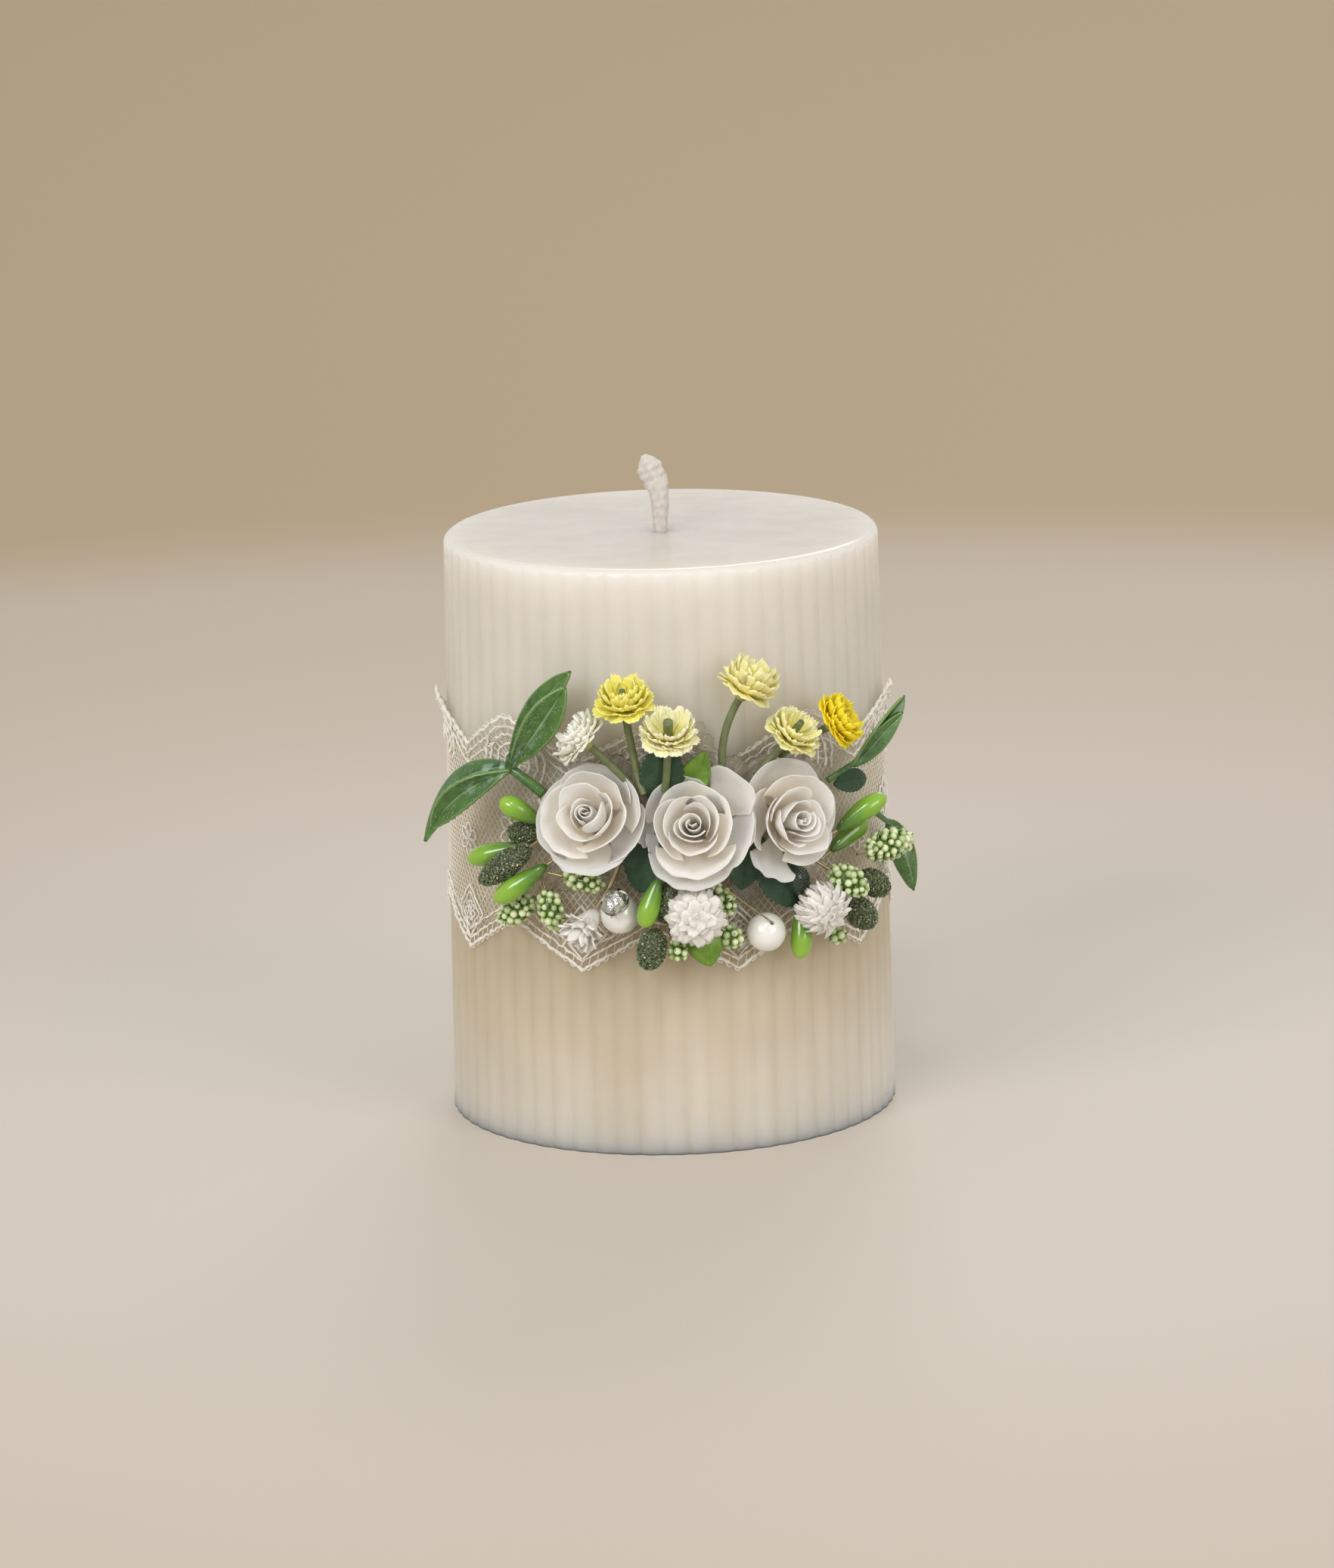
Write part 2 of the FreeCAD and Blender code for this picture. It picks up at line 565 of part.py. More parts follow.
def make_yellow_flower(name, base, azimuth, elevation, root):
    """A domed head of petals, and a stem that bends down from it and shows as a stub in its middle."""
    facing = heading(azimuth, elevation)
    seat_at, root_at = place(*base), place(*root)
    side = root_at - seat_at
    side = side - facing * side.dot(facing)
    seat = standing(seat_at, facing, side)
    head = body(f"YellowHead_{name}")
    outline = [("Sizes.YellowBoreRadius", "0")]
    outline += scaled("YellowRadius", "YellowDepth", [
        (0.3, 0.0), (0.75, 0.22), (1.0, 0.55), (0.85, 0.95), (0.5, 1.0), (0.3, 0.7),
    ])
    outline += [("Sizes.YellowBoreRadius", "Sizes.YellowDepth * 0.5")]
    turned(head, f"YellowHeadTurn_{name}", outline)
    head.Placement = seat
    keep(f"yellow_flower_{name}", head)
    neck = 0.6
    across = side.Length
    along = -facing.dot(root_at - seat_at) - neck
    bend = (across**2 + along**2) / (2 * across)
    turn = math.atan2(along, bend - across)
    stem = body(f"YellowStem_{name}")
    path = sketch(stem, "XZ_Plane", f"YellowPath_{name}")
    top, corner = Vector(0, size("YellowStub"), 0), Vector(0, -neck, 0)
    middle = Vector(bend * (1 - math.cos(turn / 2)), -neck - bend * math.sin(turn / 2), 0)
    path.addGeometry(Part.LineSegment(top, corner))
    path.addGeometry(Part.Arc(corner, middle, Vector(across, -neck - along, 0)))
    path.addConstraint(Sketcher.Constraint("Coincident", 0, 2, 1, 1))
    section = sketch(stem, "XY_Plane", f"YellowSection_{name}")
    bind(section, **{".AttachmentOffset.Base.z": "Sizes.YellowStub"})
    circle(section, "Sizes.YellowStemRadius")
    doc.recompute()
    pipe = stem.newObject("PartDesign::AdditivePipe", f"YellowPipe_{name}")
    pipe.Profile = section
    pipe.Spine = path
    stem.Placement = seat
    keep(f"yellow_stem_{name}", stem)


def make_white_flower(side, base, azimuth, elevation, wide, deep):
    """A small bell of pointed petals on a short tube."""
    bell = body(f"WhiteFlower_{side}")
    profile = [(0.0, 0.0), (0.22, 0.0), (0.36, 0.3), (1.0, 0.62), (0.9, 0.9), (0.45, 1.0), (0.0, 0.8)]
    turned(bell, f"WhiteFlowerTurn_{side}", scaled(
        "WhiteRadius", "WhiteDepth", [(across * wide, along * deep) for across, along in profile]))
    bell.Placement = standing(place(*base), heading(azimuth, elevation))
    keep(f"white_flower_{side}", bell)


# ---------------------------------------------------------------- leaves
def leaf(name, root, tip, roll, length, width, thickness, bow="0"):
    """A flat leaf between two arcs that starts at its root. Its sizes are cells of the sheet."""
    blade = body(name)
    outline = sketch(blade, "XY_Plane", name + "Outline")
    long, half, lean = size(length), size(width) / 2, 0.0
    if bow != "0":
        lean = -size(bow)
        bow = f"-Sizes.{bow}"
    start, end = Vector(0, 0, 0), Vector(long, 0, 0)
    for arc, (middle, rise) in enumerate((
            (lean + half, f"({bow} + Sizes.{width} / 2)"),
            (lean - half, f"({bow} - Sizes.{width} / 2)"))):
        outline.addGeometry(Part.Arc(start, Vector(long / 2, middle, 0), end))
        first, last = (1, 2) if outline.getPoint(arc, 1).x < long / 2 else (2, 1)
        pin(outline, arc, first, "0", "0")
        pin(outline, arc, last, f"Sizes.{length}", "0")
        set_radius(outline, arc, f"(Sizes.{length}^2 / 4 + {rise}^2) / (2 * abs({rise}))")
    pad = blade.newObject("PartDesign::Pad", name + "Pad")
    pad.Profile = outline
    bind(pad, Length=f"Sizes.{thickness}")
    root_at, tip_at = place(*root), place(*tip)
    along = (tip_at - root_at).normalize()
    out = radial((root[0] + tip[0]) / 2)
    out = (out - along * out.dot(along)).normalize()
    out = Rotation(along, roll).multVec(out)
    blade.Placement = Placement(root_at, Rotation(along, Vector(0, 0, 0), out, "ZXY"))
    return blade


def make_sprigs():
    """Moulded sprigs: a pair of leaves on one stem at the left, and two single leaves at the right."""
    fork = (-36.8, 67.2, 44.0)
    upper = leaf("SprigUpperLeaf", (-37.4, 66.6, 43.8), (-22.6, 83.6, 43.4), -12, "SprigLeafLength", "SprigLeafWidth",
                 "LeafThickness")
    lower = leaf("SprigLowerLeaf", (-35.8, 67.4, 43.4), (-55.0, 53.0, 49.0), -20, "SprigLeafLength", "SprigLeafWidth",
                 "LeafThickness", "SprigLeafBow")
    stem = rod("SprigStem", place(-30.0, 63.6, 42.4), place(*fork), "Sizes.SprigStemRadius")
    keep("leaf_sprig_left", fused("LeafSprigLeft", [upper, lower, stem]))
    high_fork = (45.2, 65.1, 44.2)
    high = leaf("SprigHighLeaf", high_fork, (57.0, 74.9, 48.0), 45, "SlimLeafLength", "SlimLeafWidth",
                "LeafThickness")
    high_stem = rod("SprigHighStem", place(39.5, 62.6, 42.0), place(46.0, 65.7, 44.4), "Sizes.SprigStemRadius")
    keep("leaf_right_upper", fused("LeafRightUpper", [high, high_stem]))
    low_fork = (63.5, 51.6, 41.6)
    low = leaf("SprigLowLeaf", low_fork, (72.5, 38.4, 43.4), 43, "SlimLeafLength", "SlimLeafWidth",
               "LeafThickness")
    low_stem = rod("SprigLowStem", place(57.0, 55.6, 40.6), place(64.4, 51.0, 41.9), "Sizes.SprigStemRadius")
    keep("leaf_right_lower", fused("LeafRightLower", [low, low_stem]))


def make_flat_leaves(wires):
    """Woven fabric leaves under the roses, pierced by the wires, and two plain green bracts."""
    cloth = [leaf(f"FabricLeaf_{name}", root, tip, roll, "FabricLeafLength", "FabricLeafWidth",
                  "FabricLeafThickness") for name, (root, tip, roll) in FABRIC_LEAVES.items()]
    keep("fabric_leaves", cut("FabricLeaves", group("FabricLeafGroup", cloth), wires))
    green = [leaf(f"Bract_{name}", root, tip, roll, "BractLength", "BractWidth",
                  "FabricLeafThickness") for name, (root, tip, roll) in BRACTS.items()]
    keep("green_bracts", group("GreenBracts", green))


# ---------------------------------------------------------------- buds, pods, seed heads, beads
def make_bud(name, root, tip):
    """A dipped stamen bud: a tapered barrel with a round end at each side."""
    root_at, tip_at = place(*root), place(*tip)
    barrel = doc.addObject("Part::Cone", f"BudBarrel_{name}")
    bind(barrel, Radius1="Sizes.BudRootRadius", Radius2="Sizes.BudTipRadius")
    barrel.Height = (tip_at - root_at).Length
    barrel.Placement = standing(root_at, tip_at - root_at)
    small = ball(f"BudRoot_{name}", "Sizes.BudRootRadius")
    small.Placement = standing(root_at, tip_at - root_at)
    large = ball(f"BudTip_{name}", "Sizes.BudTipRadius")
    large.Placement = standing(tip_at, tip_at - root_at)
    keep(f"green_bud_{name}", fused(f"Bud_{name}", [barrel, small, large]))


def drilled(label, solid, start, end):
    """A bead with its threading hole."""
    drill = rod(label + "_drill", start, end, "Sizes.BeadBoreRadius")
    keep(label, cut(label + "_bead", solid, drill))


def make_beads():
    for side, (angle, height, reach) in PEARLS.items():
        centre = place(angle, height, reach)
        sphere = ball(f"Pearl_{side}", "Sizes.PearlRadius")
        sphere.Placement = Placement(centre, Rotation())
        across = heading(angle, 40) * (size("PearlRadius") + 1)
        drilled(f"pearl_{side}", sphere, centre - across, centre + across)
    for side, ends in CRYSTALS.items():
        crystal = doc.addObject("Part::Ellipsoid", f"Crystal_{side}")
        bind(crystal, Radius1="Sizes.CrystalLong", Radius2="Sizes.CrystalWide", Radius3="Sizes.CrystalWide")
        root, tip = place(*ends[0]), place(*ends[1])
        crystal.Placement = standing((root + tip) / 2, tip - root)
        reach = (tip - root).normalize() * (size("CrystalLong") + 1)
        middle = (root + tip) / 2
        drilled(f"crystal_bead_{side}", crystal, middle - reach, middle + reach)


# ---------------------------------------------------------------- wires and glue
def wire_back(name, root, tip, length, start_off=0.0):
    """A wire that runs on from the root of a piece, away from its tip."""
    root_at = place(*root)
    back = (root_at - place(*tip)).normalize()
    return rod(name, root_at + back * start_off, root_at + back * length, "Sizes.WireRadius")


def make_wires():
    """The cut wires of the roses, buds, pods and seed heads, and the fine wire through the right pearl."""
    made = []
    for side, (back, azimuth, elevation, _) in ROSES.items():
        back_at, facing = place(*back), heading(azimuth, elevation)
        made.append(rod(f"RoseWire_{side}", back_at - facing * 2.4, back_at + facing * 2.2,
                        "Sizes.WireRadius * 2"))
    for number, (start, end) in enumerate(zip(WHITE_STEM, WHITE_STEM[1:])):
        made.append(rod(f"WhiteStem_{number}", place(*start), place(*end), "Sizes.WhiteStemRadius"))
    for name, (root, tip) in BUDS.items():
        made.append(wire_back(f"BudWire_{name}", root, tip, 3.4, size("BudRootRadius") + 0.02))
    for name, (root, tip, thickness) in {**PODS, **SEED_HEADS}.items():
        made.append(wire_back(f"PickWire_{name}_{int(thickness * 10)}", root, tip, 2.6, 0.02))
    pearl = place(*PEARLS["right"])
    made.append(rod("PearlWire", pearl + heading(22, 40) * (size("PearlRadius") + 0.1),
                    place(11.5, 47.6, 45.6), "Sizes.WireRadius * 0.6"))
    return keep("floral_wires", group("FloralWires", made))


def make_glue(wires):
    """The pad of hot glue between the lace and the spray, with the wires bedded in it."""
    pad = body("GluePad")
    inner = "Sizes.LaceGap + Sizes.LaceThickness + 0.05"
    turned(pad, "GluePadTurn", sleeve("Sizes.GlueLow", "Sizes.GlueHigh", inner, f"{inner} + Sizes.GlueThickness"),
           angle=size("GlueAngle"))
    pad.Placement = Placement(Vector(0, 0, 0), Rotation(Vector(0, 0, 1), size("GlueStart") - 90))
    keep("glue_bed", cut("GlueBed", pad, wires))


# ---------------------------------------------------------------- assembly
make_candle_body()
make_wick()
make_wick_tab()
make_lace()
make_seam_glue()
for side, (back, azimuth, elevation, share) in ROSES.items():
    make_rose(side, back, azimuth, elevation, share)
for name, (base, azimuth, elevation, root) in YELLOW_FLOWERS.items():
    make_yellow_flower(name, base, azimuth, elevation, root)
for side, (base, azimuth, elevation, wide, deep) in WHITE_FLOWERS.items():
    make_white_flower(side, base, azimuth, elevation, wide, deep)
make_sprigs()
for name, (root, tip) in BUDS.items():
    make_bud(name, root, tip)
for name, (root, tip, thickness) in PODS.items():
    keep(f"sugared_pod_{name}", egg(f"Pod_{name}", (root, tip), thickness))
for name, (root, tip, thickness) in SEED_HEADS.items():
    keep(f"seed_head_{name}", egg(f"SeedHead_{name}", (root, tip), thickness))
make_beads()
wires = make_wires()
make_glue(wires)
make_flat_leaves(wires)
doc.recompute()

failed = [thing.Name for thing in doc.Objects if {"Invalid", "Error"} & set(thing.State)]
if failed:
    raise RuntimeError(f"these objects failed: {failed}")
for label, thing in nodes.items():
    if thing.Shape.isNull() or not thing.Shape.isValid() or not thing.Shape.Solids:
        raise RuntimeError(f"{label} has no valid solid")
os.makedirs("parts", exist_ok=True)
for label, thing in nodes.items():
    thing.Shape.exportStep(f"parts/{label}.step")
print(f"{len(nodes)} sub-parts written")
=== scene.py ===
"""Unity candle: the visual model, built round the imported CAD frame.

Shapes are worked out in millimetres in the CAD frame: +Z up, the origin at the centre of the wax
base, the spray of flowers towards -Y. Places on the candle are an angle round it (0 at the front,
positive towards +X), a height, and a reach from the candle's axis. Meshes are written in metres.
"""

import math

import bpy
import numpy as np
from mathutils import Matrix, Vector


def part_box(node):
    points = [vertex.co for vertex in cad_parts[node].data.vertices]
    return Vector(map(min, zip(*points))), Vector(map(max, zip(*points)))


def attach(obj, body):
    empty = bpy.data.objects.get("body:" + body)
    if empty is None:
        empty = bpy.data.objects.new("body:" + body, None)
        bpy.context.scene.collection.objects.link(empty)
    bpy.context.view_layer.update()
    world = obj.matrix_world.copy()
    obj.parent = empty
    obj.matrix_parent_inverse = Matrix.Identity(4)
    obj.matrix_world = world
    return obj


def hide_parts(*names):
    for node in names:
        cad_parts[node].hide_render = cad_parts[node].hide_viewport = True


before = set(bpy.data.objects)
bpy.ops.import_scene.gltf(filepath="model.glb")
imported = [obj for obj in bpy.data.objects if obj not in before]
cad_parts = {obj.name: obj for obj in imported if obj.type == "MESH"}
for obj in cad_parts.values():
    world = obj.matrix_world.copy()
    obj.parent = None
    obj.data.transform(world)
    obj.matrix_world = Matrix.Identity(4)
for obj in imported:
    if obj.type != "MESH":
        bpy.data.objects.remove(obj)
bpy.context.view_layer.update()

MM = 0.001
TAU = 2 * math.pi
WAX_FOOT = 38.3  # reach of the wax at its foot, in millimetres
WAX_TAPER = 0.013  # how much the wax narrows for each millimetre of height


# ---------------------------------------------------------------- numbers and places
def draws(seed):
    """A seeded source of random numbers."""
    return np.random.default_rng(seed)


def smooth(value, low, high):
    """0 below low, 1 above high, and a smooth step between."""
    part = np.clip((value - low) / (high - low), 0, 1)
    return part * part * (3 - 2 * part)


def ripple(points, size, seed):
    """Smooth noise of about -1 to 1 at points in space, with features of about that size."""
    random = draws(seed)
    total = 0
    for octave in range(6):
        way = random.normal(size=3)
        way = way / np.linalg.norm(way) * TAU / (size * random.uniform(0.7, 1.8))
        total = total + np.sin(points @ way + random.uniform(0, TAU))
    return total / 3


def radial(angle):
    """Unit vectors away from the candle's axis at angles in degrees."""
    turn = np.radians(angle)
    return np.stack([np.sin(turn), -np.cos(turn), np.zeros_like(turn)], -1)


def place(angle, height, reach):
    """Points at angles round the candle, heights and reaches."""
    angle, height, reach = np.broadcast_arrays(*(np.asarray(v, float) for v in (angle, height, reach)))
    points = radial(angle) * reach[..., None]
    points[..., 2] = height
    return points


def unit(vector):
    return vector / np.linalg.norm(vector, axis=-1, keepdims=True)


def circle_of(sides):
    """That many angles, evenly round a circle."""
    return np.linspace(0, TAU, sides, endpoint=False)


def corners_of(node):
    """The low and high corner of a CAD node, in millimetres."""
    return (np.array(corner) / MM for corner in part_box(node))


def about_axis(out, across, up, turn):
    """Points at places out from the Z axis and across from that line, turned about the axis."""
    cos, sin = math.cos(turn), math.sin(turn)
    return np.stack([out * cos - across * sin, out * sin + across * cos, up + 0 * across], -1)


def turned(out, up, turn):
    """Points at distances out from the Z axis, at heights, and at angles round it."""
    return np.stack([out * np.cos(turn), out * np.sin(turn), up + 0 * turn], -1)


def quads_of(rows, columns, wrap=False):
    """The corners of each cell of a grid of points, row by row. wrap joins the last column to the first."""
    index = np.arange(rows * columns).reshape(rows, columns)
    if wrap:
        index = np.concatenate([index, index[:, :1]], 1)
    return np.stack([index[:-1, :-1], index[:-1, 1:], index[1:, 1:], index[1:, :-1]], -1)


def egg_area(half):
    """The surface of an egg with those half sizes, by Thomsen's formula."""
    power = 1.6
    flat, tall = (half[0] * half[1]) ** power / 3, (half[0] * half[2]) ** power / 3
    return 4 * math.pi * (flat + 2 * tall) ** (1 / power)


def put_in_scene(name, data):
    """An object for that data, in the scene."""
    made = bpy.data.objects.new(name, data)
    bpy.context.scene.collection.objects.link(made)
    return made


def axes_along(axis, up=(0.0, 0.0, 1.0)):
    """Rows X, Y, Z of a frame whose Z is the axis and whose Y is as near to up as it can be."""
    axis = unit(np.asarray(axis, float))
    up = np.asarray(up, float)
    if abs(axis @ up) > 0.98:
        up = np.array([0.0, 1.0, 0.0])
    side = unit(np.cross(up, axis))
    return np.stack([side, np.cross(axis, side), axis])


class Seat:
    """Where a turned CAD node sits: its base, axes, length and radius. Z runs to its wide end or towards."""

    def __init__(self, node, towards=None):
        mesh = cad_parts[node].data
        mesh.calc_loop_triangles()
        points = np.array([v.co for v in mesh.vertices]) / MM
        corners = points[np.array([t.vertices for t in mesh.loop_triangles])]
        cross = np.cross(corners[:, 1] - corners[:, 0], corners[:, 2] - corners[:, 0])
        area = np.linalg.norm(cross, axis=1) / 2
        middle = corners.mean(1)
        centre = (middle * area[:, None]).sum(0) / area.sum()
        spread = middle - centre
        value, vector = np.linalg.eigh((spread * area[:, None]).T @ spread / area.sum())
        axis = vector[:, 0 if value[1] - value[0] > value[2] - value[1] else 2]
        along = spread @ axis
        across = np.linalg.norm(spread - along[:, None] * axis, axis=1)
        reach = (points - centre) @ axis
        split = reach.min() / 2 + reach.max() / 2
        upper = np.average(across[along > split], weights=area[along > split])
        lower = np.average(across[along <= split], weights=area[along <= split])
        flip = upper < lower if towards is None else axis @ np.asarray(towards, float) < 0
        axis = -axis if flip else axis
        along = (points - centre) @ axis
        self.base = centre + axis * along.min()
        self.length = along.max() - along.min()
        self.radius = np.linalg.norm(points - centre - along[:, None] * axis, axis=1).max()
        self.axes = axes_along(axis)

    def at(self, points):
        """Points in the seat's own axes, moved into the CAD frame."""
        return self.base + points @ self.axes


# ---------------------------------------------------------------- mesh building
class Shape:
    """Collects surfaces into one mesh. Each point carries a tint and a share of the way along."""

    def __init__(self):
        self.points, self.faces, self.tint, self.along, self.count = [], [], [], [], 0

    def add(self, points, faces, tint=0.5, along=0.5):
        points = np.asarray(points, float).reshape(-1, 3)
        self.points.append(points)
        self.faces.extend((np.asarray(faces) + self.count).tolist())
        self.tint.append(np.broadcast_to(np.asarray(tint, float).ravel(), len(points)))
        self.along.append(np.broadcast_to(np.asarray(along, float).ravel(), len(points)))
        self.count += len(points)

    def grid(self, points, tint=0.5, along=None, wrap=False):
        """A surface through rows and columns of points. With wrap, the last column joins the first."""
        rows, columns = points.shape[:2]
        if along is None:
            along = np.repeat(np.linspace(0, 1, rows), columns)
        self.add(points, quads_of(rows, columns, wrap).reshape(-1, 4), tint, along)

    def closed(self, rings, tint=0.5, along=None):
        """A tube through rings of points, closed by a point at each end."""
        rows, columns = rings.shape[:2]
        start = self.count
        if along is None:
            along = np.repeat(np.linspace(0, 1, rows), columns)
        along = np.broadcast_to(np.asarray(along, float).ravel(), rows * columns)
        self.grid(rings, tint, along, wrap=True)
        ends = np.stack([rings[0].mean(0), rings[-1].mean(0)])
        self.add(ends, np.zeros((0, 3), int), tint, along[[0, -1]])
        low, high = start + rows * columns, start + rows * columns + 1
        last = start + (rows - 1) * columns
        for i in range(columns):
            j = (i + 1) % columns
            self.faces.append([start + j, start + i, low])
            self.faces.append([last + i, last + j, high])

    def build(self, name, material, replaces=(), thick=0.0, flat=False):
        """Writes the mesh, gives it its material, and rides it on the candle."""
        mesh = bpy.data.meshes.new(name)
        mesh.from_pydata((np.concatenate(self.points) * MM).tolist(), [], self.faces)
        mesh.update()
        for label, values in (("tint", self.tint), ("along", self.along)):
            layer = mesh.attributes.new(label, "FLOAT", "POINT")
            layer.data.foreach_set("value", np.concatenate(values).astype(np.float32))
        mesh.polygons.foreach_set("use_smooth", [not flat] * len(mesh.polygons))
        mesh.materials.append(material)
        piece = put_in_scene(name, mesh)
        if thick:
            solid = piece.modifiers.new("thickness", "SOLIDIFY")
            solid.thickness = thick * MM
            solid.offset = 0
        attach(piece, "root")
        if replaces:
            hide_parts(*replaces)
        return piece


def rings_along(path, radius, sides, first=(0, 0, 1), flatten=1.0):
    """Rings of points round a path, each starting on the side nearest to first.

    radius and flatten are one number, or one for each point of the path.
    """
    path = np.asarray(path, float)
    count = len(path)
    tangent = unit(np.gradient(path, axis=0))
    normal = np.zeros_like(path)
    hint = np.asarray(first, float)
    if abs(tangent[0] @ hint) > 0.95:
        hint = np.array([1.0, 0.0, 0.0])
    for i in range(count):
        hint = unit(hint - tangent[i] * (hint @ tangent[i]))
        normal[i] = hint
    other = np.cross(tangent, normal)
    turn = circle_of(sides)[None, :]
    radius = np.broadcast_to(np.asarray(radius, float), count)[:, None, None]
    flatten = np.broadcast_to(np.asarray(flatten, float), count)[:, None, None]
    return path[:, None] + radius * (
        np.cos(turn)[..., None] * normal[:, None] + flatten * np.sin(turn)[..., None] * other[:, None])


def bezier(start, handle_a, handle_b, end, count):
    """Points along a cubic curve."""
    part = np.linspace(0, 1, count)[:, None]
    start, handle_a, handle_b, end = (np.asarray(p, float) for p in (start, handle_a, handle_b, end))
    return ((1 - part) ** 3 * start + 3 * (1 - part) ** 2 * part * handle_a
            + 3 * (1 - part) * part**2 * handle_b + part**3 * end)


def spiral_points(count):
    """Unit vectors spread evenly over a ball."""
    step = np.arange(count) + 0.5
    level = 1 - 2 * step / count
    turn = step * math.pi * (3 - math.sqrt(5))
    flat = np.sqrt(1 - level**2)
    return np.stack([flat * np.cos(turn), flat * np.sin(turn), level], -1)


def ball_rings(rows, columns):
    """A unit ball as rings of points from its low end to its high end, without the end points."""
    rise = np.linspace(-math.pi / 2, math.pi / 2, rows + 2)[1:-1, None]
    return turned(np.cos(rise), np.sin(rise), circle_of(columns)[None, :])


# ---------------------------------------------------------------- materials
class Paint:
    """A procedural material under construction, with one Principled shader."""

    def __init__(self, name, **sockets):
        self.material = bpy.data.materials.new(name)
        self.material.use_nodes = True
        self.tree = self.material.node_tree
        self.shader = self.tree.nodes["Principled BSDF"]
        self.set(**sockets)

    def set(self, **sockets):
        for label, value in sockets.items():
            socket = self.shader.inputs[label.replace("_", " ")]
            if isinstance(value, bpy.types.NodeSocket):
                self.tree.links.new(value, socket)
            elif isinstance(value, tuple) and len(value) == 3 and socket.type == "RGBA":
                socket.default_value = (*value, 1)
            else:
                socket.default_value = value

    def node(self, kind, inputs=(), **settings):
        made = self.tree.nodes.new(kind)
        for label, value in settings.items():
            setattr(made, label, value)
        for label, value in dict(inputs).items():
            if isinstance(value, bpy.types.NodeSocket):
                self.tree.links.new(value, made.inputs[label])
            else:
                made.inputs[label].default_value = value
        return made

    def where(self, stretch=(1, 1, 1), turn=(0, 0, 0)):
        """The place on the object, in metres, stretched for a texture."""
        spot = self.node("ShaderNodeTexCoord").outputs["Object"]
        mapping = {"Vector": spot, "Scale": stretch, "Rotation": turn}
        return self.node("ShaderNodeMapping", mapping).outputs[0]

    def noise(self, size, detail=3.0, stretch=(1, 1, 1)):
        """Noise with features of about that size in millimetres."""
        return self.node("ShaderNodeTexNoise", {
            "Vector": self.where(stretch), "Scale": 1 / (size * MM), "Detail": detail,
            "Roughness": 0.55}).outputs["Fac"]

    def cells(self, size):
        """Distance to the nearest of scattered points about that many millimetres apart."""
        return self.node("ShaderNodeTexVoronoi", {
            "Vector": self.where(), "Scale": 1 / (size * MM)}).outputs["Distance"]

    def value(self, label):
        return self.node("ShaderNodeAttribute", attribute_name=label).outputs["Fac"]

    def height(self):
        return self.node("ShaderNodeSeparateXYZ", {0: self.where()}).outputs["Z"]

    def facing_up(self):
        normal = self.node("ShaderNodeNewGeometry").outputs["Normal"]
        return self.node("ShaderNodeSeparateXYZ", {0: normal}).outputs["Z"]

    def span(self, value, low, high, to_low=0.0, to_high=1.0):
        """Maps a value from one range to another, clamped."""
        return self.node("ShaderNodeMapRange", {
            "Value": value, "From Min": low, "From Max": high,
            "To Min": to_low, "To Max": to_high}).outputs[0]

    def ramp(self, value, stops, ease="LINEAR"):
        made = self.node("ShaderNodeValToRGB", {0: value})
        made.color_ramp.interpolation = ease
        points = made.color_ramp.elements
        while len(points) < len(stops):
            points.new(0.5)
        for point, (spot, colour) in zip(points, stops):
            point.position = spot
            point.color = (*colour, 1)
        return made.outputs[0]

    def mix(self, share, first, second, blend="MIX"):
        made = self.node("ShaderNodeMix", data_type="RGBA", blend_type=blend)
        for label, value in ((0, share), (6, first), (7, second)):
            if isinstance(value, bpy.types.NodeSocket):
                self.tree.links.new(value, made.inputs[label])
            else:
                made.inputs[label].default_value = value if label == 0 else (*value, 1)
        return made.outputs[2]

    def math(self, operation, first, second):
        return self.node("ShaderNodeMath", {0: first, 1: second}, operation=operation).outputs[0]

    def times(self, first, second):
        return self.math("MULTIPLY", first, second)

    def bump(self, height, depth, strength=1.0):
        """Relief of that depth in millimetres where height runs from 0 to 1."""
        made = self.node("ShaderNodeBump", {
            "Height": height, "Distance": depth * MM, "Strength": strength})
        if self.shader.inputs["Normal"].is_linked:
            self.tree.links.new(self.shader.inputs["Normal"].links[0].from_socket, made.inputs["Normal"])
        self.tree.links.new(made.outputs[0], self.shader.inputs["Normal"])


